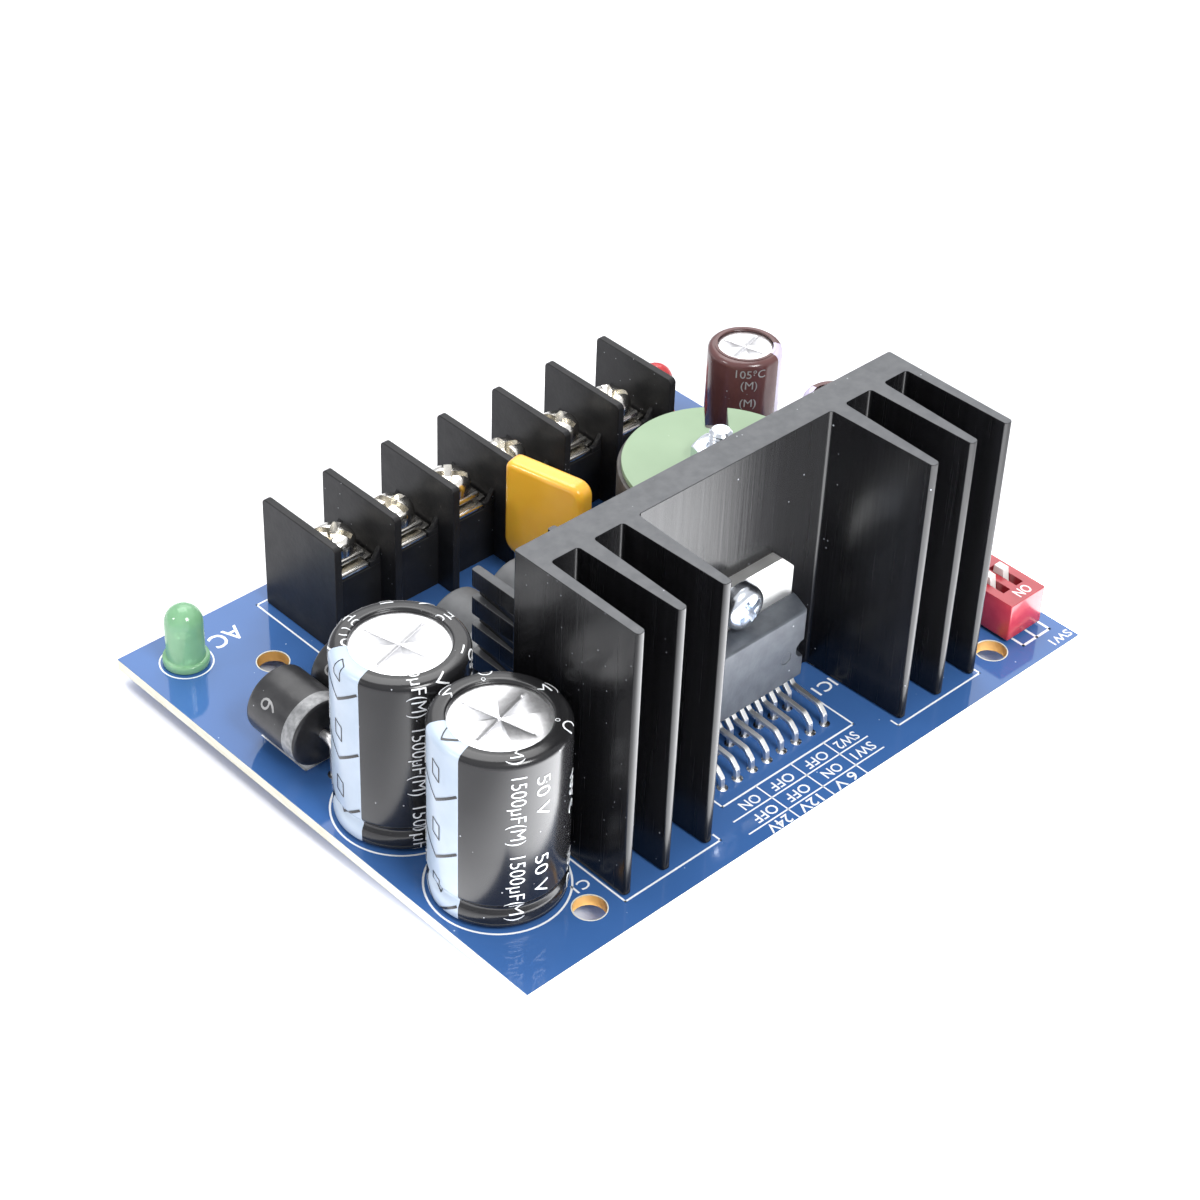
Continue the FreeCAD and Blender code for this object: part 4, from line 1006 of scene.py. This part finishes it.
def terminal_pieces():
    x0, x1 = 21.05, 21.05 + 6 * 9.525 + 1.1
    bm = bmesh.new()
    box(bm, x0 + 0.2, x1 - 0.2, 61.7, 70.1, 0, 8.3)
    for x in [WAYS[0] - 9.525] + WAYS:
        low, high = max(x0 + 0.2, x + TONGUE), min(x1 - 0.2, x + 9.525 - TONGUE)
        for y0, y1 in ((61.7, 62.4), (69.4, 70.1)):
            box(bm, low, high, y0, y1, 8.2, 9.1)
    for k in range(7):
        x = x0 + 9.525 * k
        points = [(58.7, 0, 0), (73.1, 0, 0), (73.1, 16.5, 0), (58.7, 16.5, 0)]
        slab(bm, rounded(points, [0.3, 0.3, 0.7, 0.7], 6), x, x + 1.1, "yz")
    for k in range(6):
        x = x0 + 1.1 + 9.525 * k
        for y0, y1 in ((61.7, 62.4), (69.4, 70.1)):
            points = [(x - 0.05, 9.0), (x + 1.1, 9.0), (x - 0.05, 10.7)]
            slab(bm, points, y0, y1, "xz")
            far = x + 8.425
            slab(bm, [(far + 0.05, 9.0), (far - 1.1, 9.0), (far + 0.05, 10.7)], y0, y1, "xz")
    piece("block_moulding", bm, "board", moulding, ["terminal_block_housing"], 0.14, 2)
    bm = bmesh.new()
    for x in WAYS:
        wide, deep = 4.06, 3.0
        points = [(TONGUE, -4.1), (TONGUE, -deep), (wide, -deep), (wide, deep), (TONGUE, deep), (TONGUE, 4.1)]
        shape = [(x + a, WAY_Y + b) for a, b in points] + [(x - a, WAY_Y + b) for a, b in reversed(points)]
        slab(bm, shape, 8.3, 9.1)
        block(bm, x, WAY_Y + 2.5, BOTTOM, 8.4, 1.2, 0.8)
        note(x, WAY_Y + 2.5, 1.2, 0.8)
    piece("block_contacts", bm, "board", nickel, ["terminal_contacts"], 0.34, 4)
    head = pan_head(2.95, 2.5, 1.6, 6.1, 0.6, 1.7, 1.05, 5.2)
    for k, x in enumerate(WAYS, 1):
        bm = bmesh.new()
        path = [(-3.1, 10.1), (-2.5, 9.85), (2.5, 9.85), (3.1, 10.1)]
        ribbon(bm, 0, path, 5.6, 0.9, 0.8)
        bm.transform(place(x, WAY_Y))
        piece(f"clamp_plate_{k}", bm, f"clamp_{k}", nickel, [f"terminal_clamp_{k}"], 0.38, 4, 50)
        bm = head.copy()
        bm.transform(place(x, WAY_Y, 10.4, (35, 12, 52, 80, 24, 63)[k - 1]))
        piece(f"binding_screw_{k}", bm, f"screw_{k}", nickel, [f"terminal_screw_{k}"])
    head.free()


# Setting switch

def tier(x, half, y0, y1, z):
    return [(x - half, y0, z), (x + half, y0, z), (x + half, y1, z), (x - half, y1, z)]


def switch_pieces():
    cx, cy, top = 89.925, 9.9, 6.0
    bm = bmesh.new()
    slab(bm, rounded([(86.65, 4.95, 0), (93.2, 4.95, 0), (93.2, 14.85, 0), (86.65, 14.85, 0)], 0.2, 3), 0.5, top)
    slots = [brick(cx + s * 1.27 - 0.65, cx + s * 1.27 + 0.65, cy - 2.3, cy + 2.3, top - 2.0, top + 1)
             for s in (-1, 1)]
    bm = carve(bm, *slots)
    piece("switch_case", bm, "board", red_plastic, ["switch_housing"], 0.08, 2)
    bm = bmesh.new()
    letters("ON", 1.6, place(90.25, 6.42, top, 180), bm, 2.5)
    piece("switch_print", bm, "board", ink)
    pins = bmesh.new()
    for number, side in ((1, 1), (2, -1)):
        x = cx + side * 1.27
        back = cy + 2.2
        bm = bmesh.new()
        block(bm, x, back - 1.25, top - 2.0, top - 1.0, 1.1, 2.5)
        loft(bm, [tier(x, 0.55, back - 2.45, back - 0.4, top - 1.1), tier(x, 0.55, back - 2.1, back - 0.6, top + 1.0)])
        piece(f"switch_knob_{number}", bm, f"slider_{number}", white_plastic,
              [f"switch_slider_{number}"], 0.08, 2)
        for way in (-1, 1):
            y = cy + way * 3.81
            block(pins, x, y, BOTTOM, 0.6, 0.5, 0.5)
            block(pins, x, y + way * 1.0, 0.5, 3.2, 1.0, 0.25)
            note(x, y, 0.5, 0.5)
    piece("switch_pin_set", pins, "board", tin, ["switch_pins"], 0.04, 1)


def sink_pin_notes():
    for side in (-1, 1):
        note(SINK_X + side * 25.4, 21.4, 2.3, 2.3)
    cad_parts["main_heatsink_pins"].data.materials.clear()
    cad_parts["main_heatsink_pins"].data.materials.append(tin)


board_piece()
main_heatsink_piece()
regulator_pieces()
small_heatsink_piece()
rectifier_pieces()
inductor_pieces()
capacitor_pieces()
diode_pieces()
fuse_pieces()
lamp_pieces()
terminal_pieces()
switch_pieces()
sink_pin_notes()
joints_piece()
legend_piece()


# Stage, light and camera

# The floor's emission is painted light: a glowing pool centred just in front of the board fades out by 85 mm. It is
# kept off the floor under the board's outline and stands in for light falling on the floor there.
LIGHT_POOL_CENTRE = (0.002, -0.062, 0)
floor_mesh = bmesh.new()
bmesh.ops.create_grid(floor_mesh, x_segments=1, y_segments=1, size=3.0,
                      matrix=Matrix.Translation((0, 0, -0.0001)))
floor_data = bpy.data.meshes.new("floor")
floor_mesh.to_mesh(floor_data)
floor_mesh.free()
floor_data.materials.append(floor_paint)
glow_nodes, glow_links = floor_paint.node_tree.nodes, floor_paint.node_tree.links
spread = glow_nodes.new("ShaderNodeTexCoord")
away = glow_nodes.new("ShaderNodeVectorMath")
away.operation = "DISTANCE"
away.inputs[1].default_value = LIGHT_POOL_CENTRE
glow_links.new(spread.outputs["Object"], away.inputs[0])
rise = glow_nodes.new("ShaderNodeMapRange")
rise.interpolation_type = "SMOOTHSTEP"
rise.inputs["From Min"].default_value = 0.085
rise.inputs["From Max"].default_value = 0.020
rise.inputs["To Min"].default_value = 0.05
rise.inputs["To Max"].default_value = 7.8
glow_links.new(away.outputs["Value"], rise.inputs["Value"])
size_node = glow_nodes.new("ShaderNodeVectorMath")
size_node.operation = "ABSOLUTE"
glow_links.new(spread.outputs["Object"], size_node.inputs[0])
past = glow_nodes.new("ShaderNodeVectorMath")
past.operation = "SUBTRACT"
past.inputs[1].default_value = (BOARD[0] / 2 * MM, BOARD[1] / 2 * MM, 0)
glow_links.new(size_node.outputs["Vector"], past.inputs[0])
apart = glow_nodes.new("ShaderNodeSeparateXYZ")
glow_links.new(past.outputs["Vector"], apart.inputs["Vector"])
outside = glow_nodes.new("ShaderNodeMath")
outside.operation = "MAXIMUM"
glow_links.new(apart.outputs["X"], outside.inputs[0])
glow_links.new(apart.outputs["Y"], outside.inputs[1])
beyond = glow_nodes.new("ShaderNodeMapRange")
beyond.inputs["From Min"].default_value = -0.002
beyond.inputs["From Max"].default_value = 0.001
glow_links.new(outside.outputs["Value"], beyond.inputs["Value"])
painted_light_pool = glow_nodes.new("ShaderNodeMath")
painted_light_pool.operation = "MULTIPLY"
glow_links.new(rise.outputs["Result"], painted_light_pool.inputs[0])
glow_links.new(beyond.outputs["Result"], painted_light_pool.inputs[1])
glow_links.new(painted_light_pool.outputs["Value"], floor_paint.node_tree.nodes["Principled BSDF"].inputs["Emission Strength"])
floor_paint.node_tree.nodes["Principled BSDF"].inputs["Emission Color"].default_value = (0.97, 0.98, 1.0, 1)
floor = bpy.data.objects.new("floor", floor_data)
bpy.context.scene.collection.objects.link(floor)

world = bpy.data.worlds.new("studio")
bpy.context.scene.world = world
world.use_nodes = True
sky_nodes, sky_links = world.node_tree.nodes, world.node_tree.links
sky = sky_nodes["Background"]
sky.inputs["Strength"].default_value = 0.85
direction = sky_nodes.new("ShaderNodeTexCoord")
split = sky_nodes.new("ShaderNodeSeparateXYZ")
sky_links.new(direction.outputs["Generated"], split.inputs["Vector"])
sky_ramp = sky_nodes.new("ShaderNodeValToRGB")
sky_ramp.color_ramp.elements[0].position = 0.0
sky_ramp.color_ramp.elements[0].color = (0.72, 0.74, 0.80, 1)
sky_ramp.color_ramp.elements[1].position = 0.7
sky_ramp.color_ramp.elements[1].color = (1.0, 1.0, 1.02, 1)
sky_links.new(split.outputs["Z"], sky_ramp.inputs["Fac"])
sky_links.new(sky_ramp.outputs["Color"], sky.inputs["Color"])


def soft_light(name, spot, target, size, power, tint):
    data = bpy.data.lights.new(name, "AREA")
    data.shape = "RECTANGLE"
    data.size, data.size_y = size
    data.energy = power
    data.color = tint
    obj = bpy.data.objects.new(name, data)
    obj.location = spot
    obj.rotation_euler = (Vector(target) - Vector(spot)).to_track_quat("-Z", "Y").to_euler()
    bpy.context.scene.collection.objects.link(obj)


soft_light("key", (0.10, 0.25, 0.62), (0, 0, 0.01), (0.5, 0.4), 2.4, (1.0, 1.0, 1.0))
soft_light("back", (0.65, 0.65, 0.75), (0, 0, 0.01), (0.9, 0.6), 2.8, (1.0, 1.0, 1.0))
soft_light("left", (-0.69, 0.31, 0.47), (0, 0, 0.01), (0.14, 0.14), 1.3, (1.0, 1.0, 1.0))
soft_light("front", (-0.066, -0.61, 0.67), (0, 0, 0.01), (0.3, 0.3), 6.0, (1.0, 1.0, 1.0))

YAW, PITCH, ROLL = 0.781, -0.666, 0.042
camera_data = bpy.data.cameras.new("camera")
camera_data.lens = 81.6
camera_data.sensor_width = 36.0
camera_data.clip_start = 0.01
camera_data.clip_end = 20
camera = bpy.data.objects.new("camera", camera_data)
bpy.context.scene.collection.objects.link(camera)
ahead = Vector((math.sin(YAW) * math.cos(PITCH), math.cos(YAW) * math.cos(PITCH), math.sin(PITCH)))
right = ahead.cross(Vector((0, 0, 1))).normalized()
up = right.cross(ahead)
right_rolled = right * math.cos(ROLL) + up * math.sin(ROLL)
up_rolled = up * math.cos(ROLL) - right * math.sin(ROLL)
turn_matrix = Matrix((right_rolled, up_rolled, -ahead)).transposed().to_4x4()
camera.matrix_world = Matrix.Translation((-0.188273, -0.188591, 0.220460)) @ turn_matrix
bpy.context.scene.camera = camera
bpy.context.scene.view_settings.view_transform = "Standard"
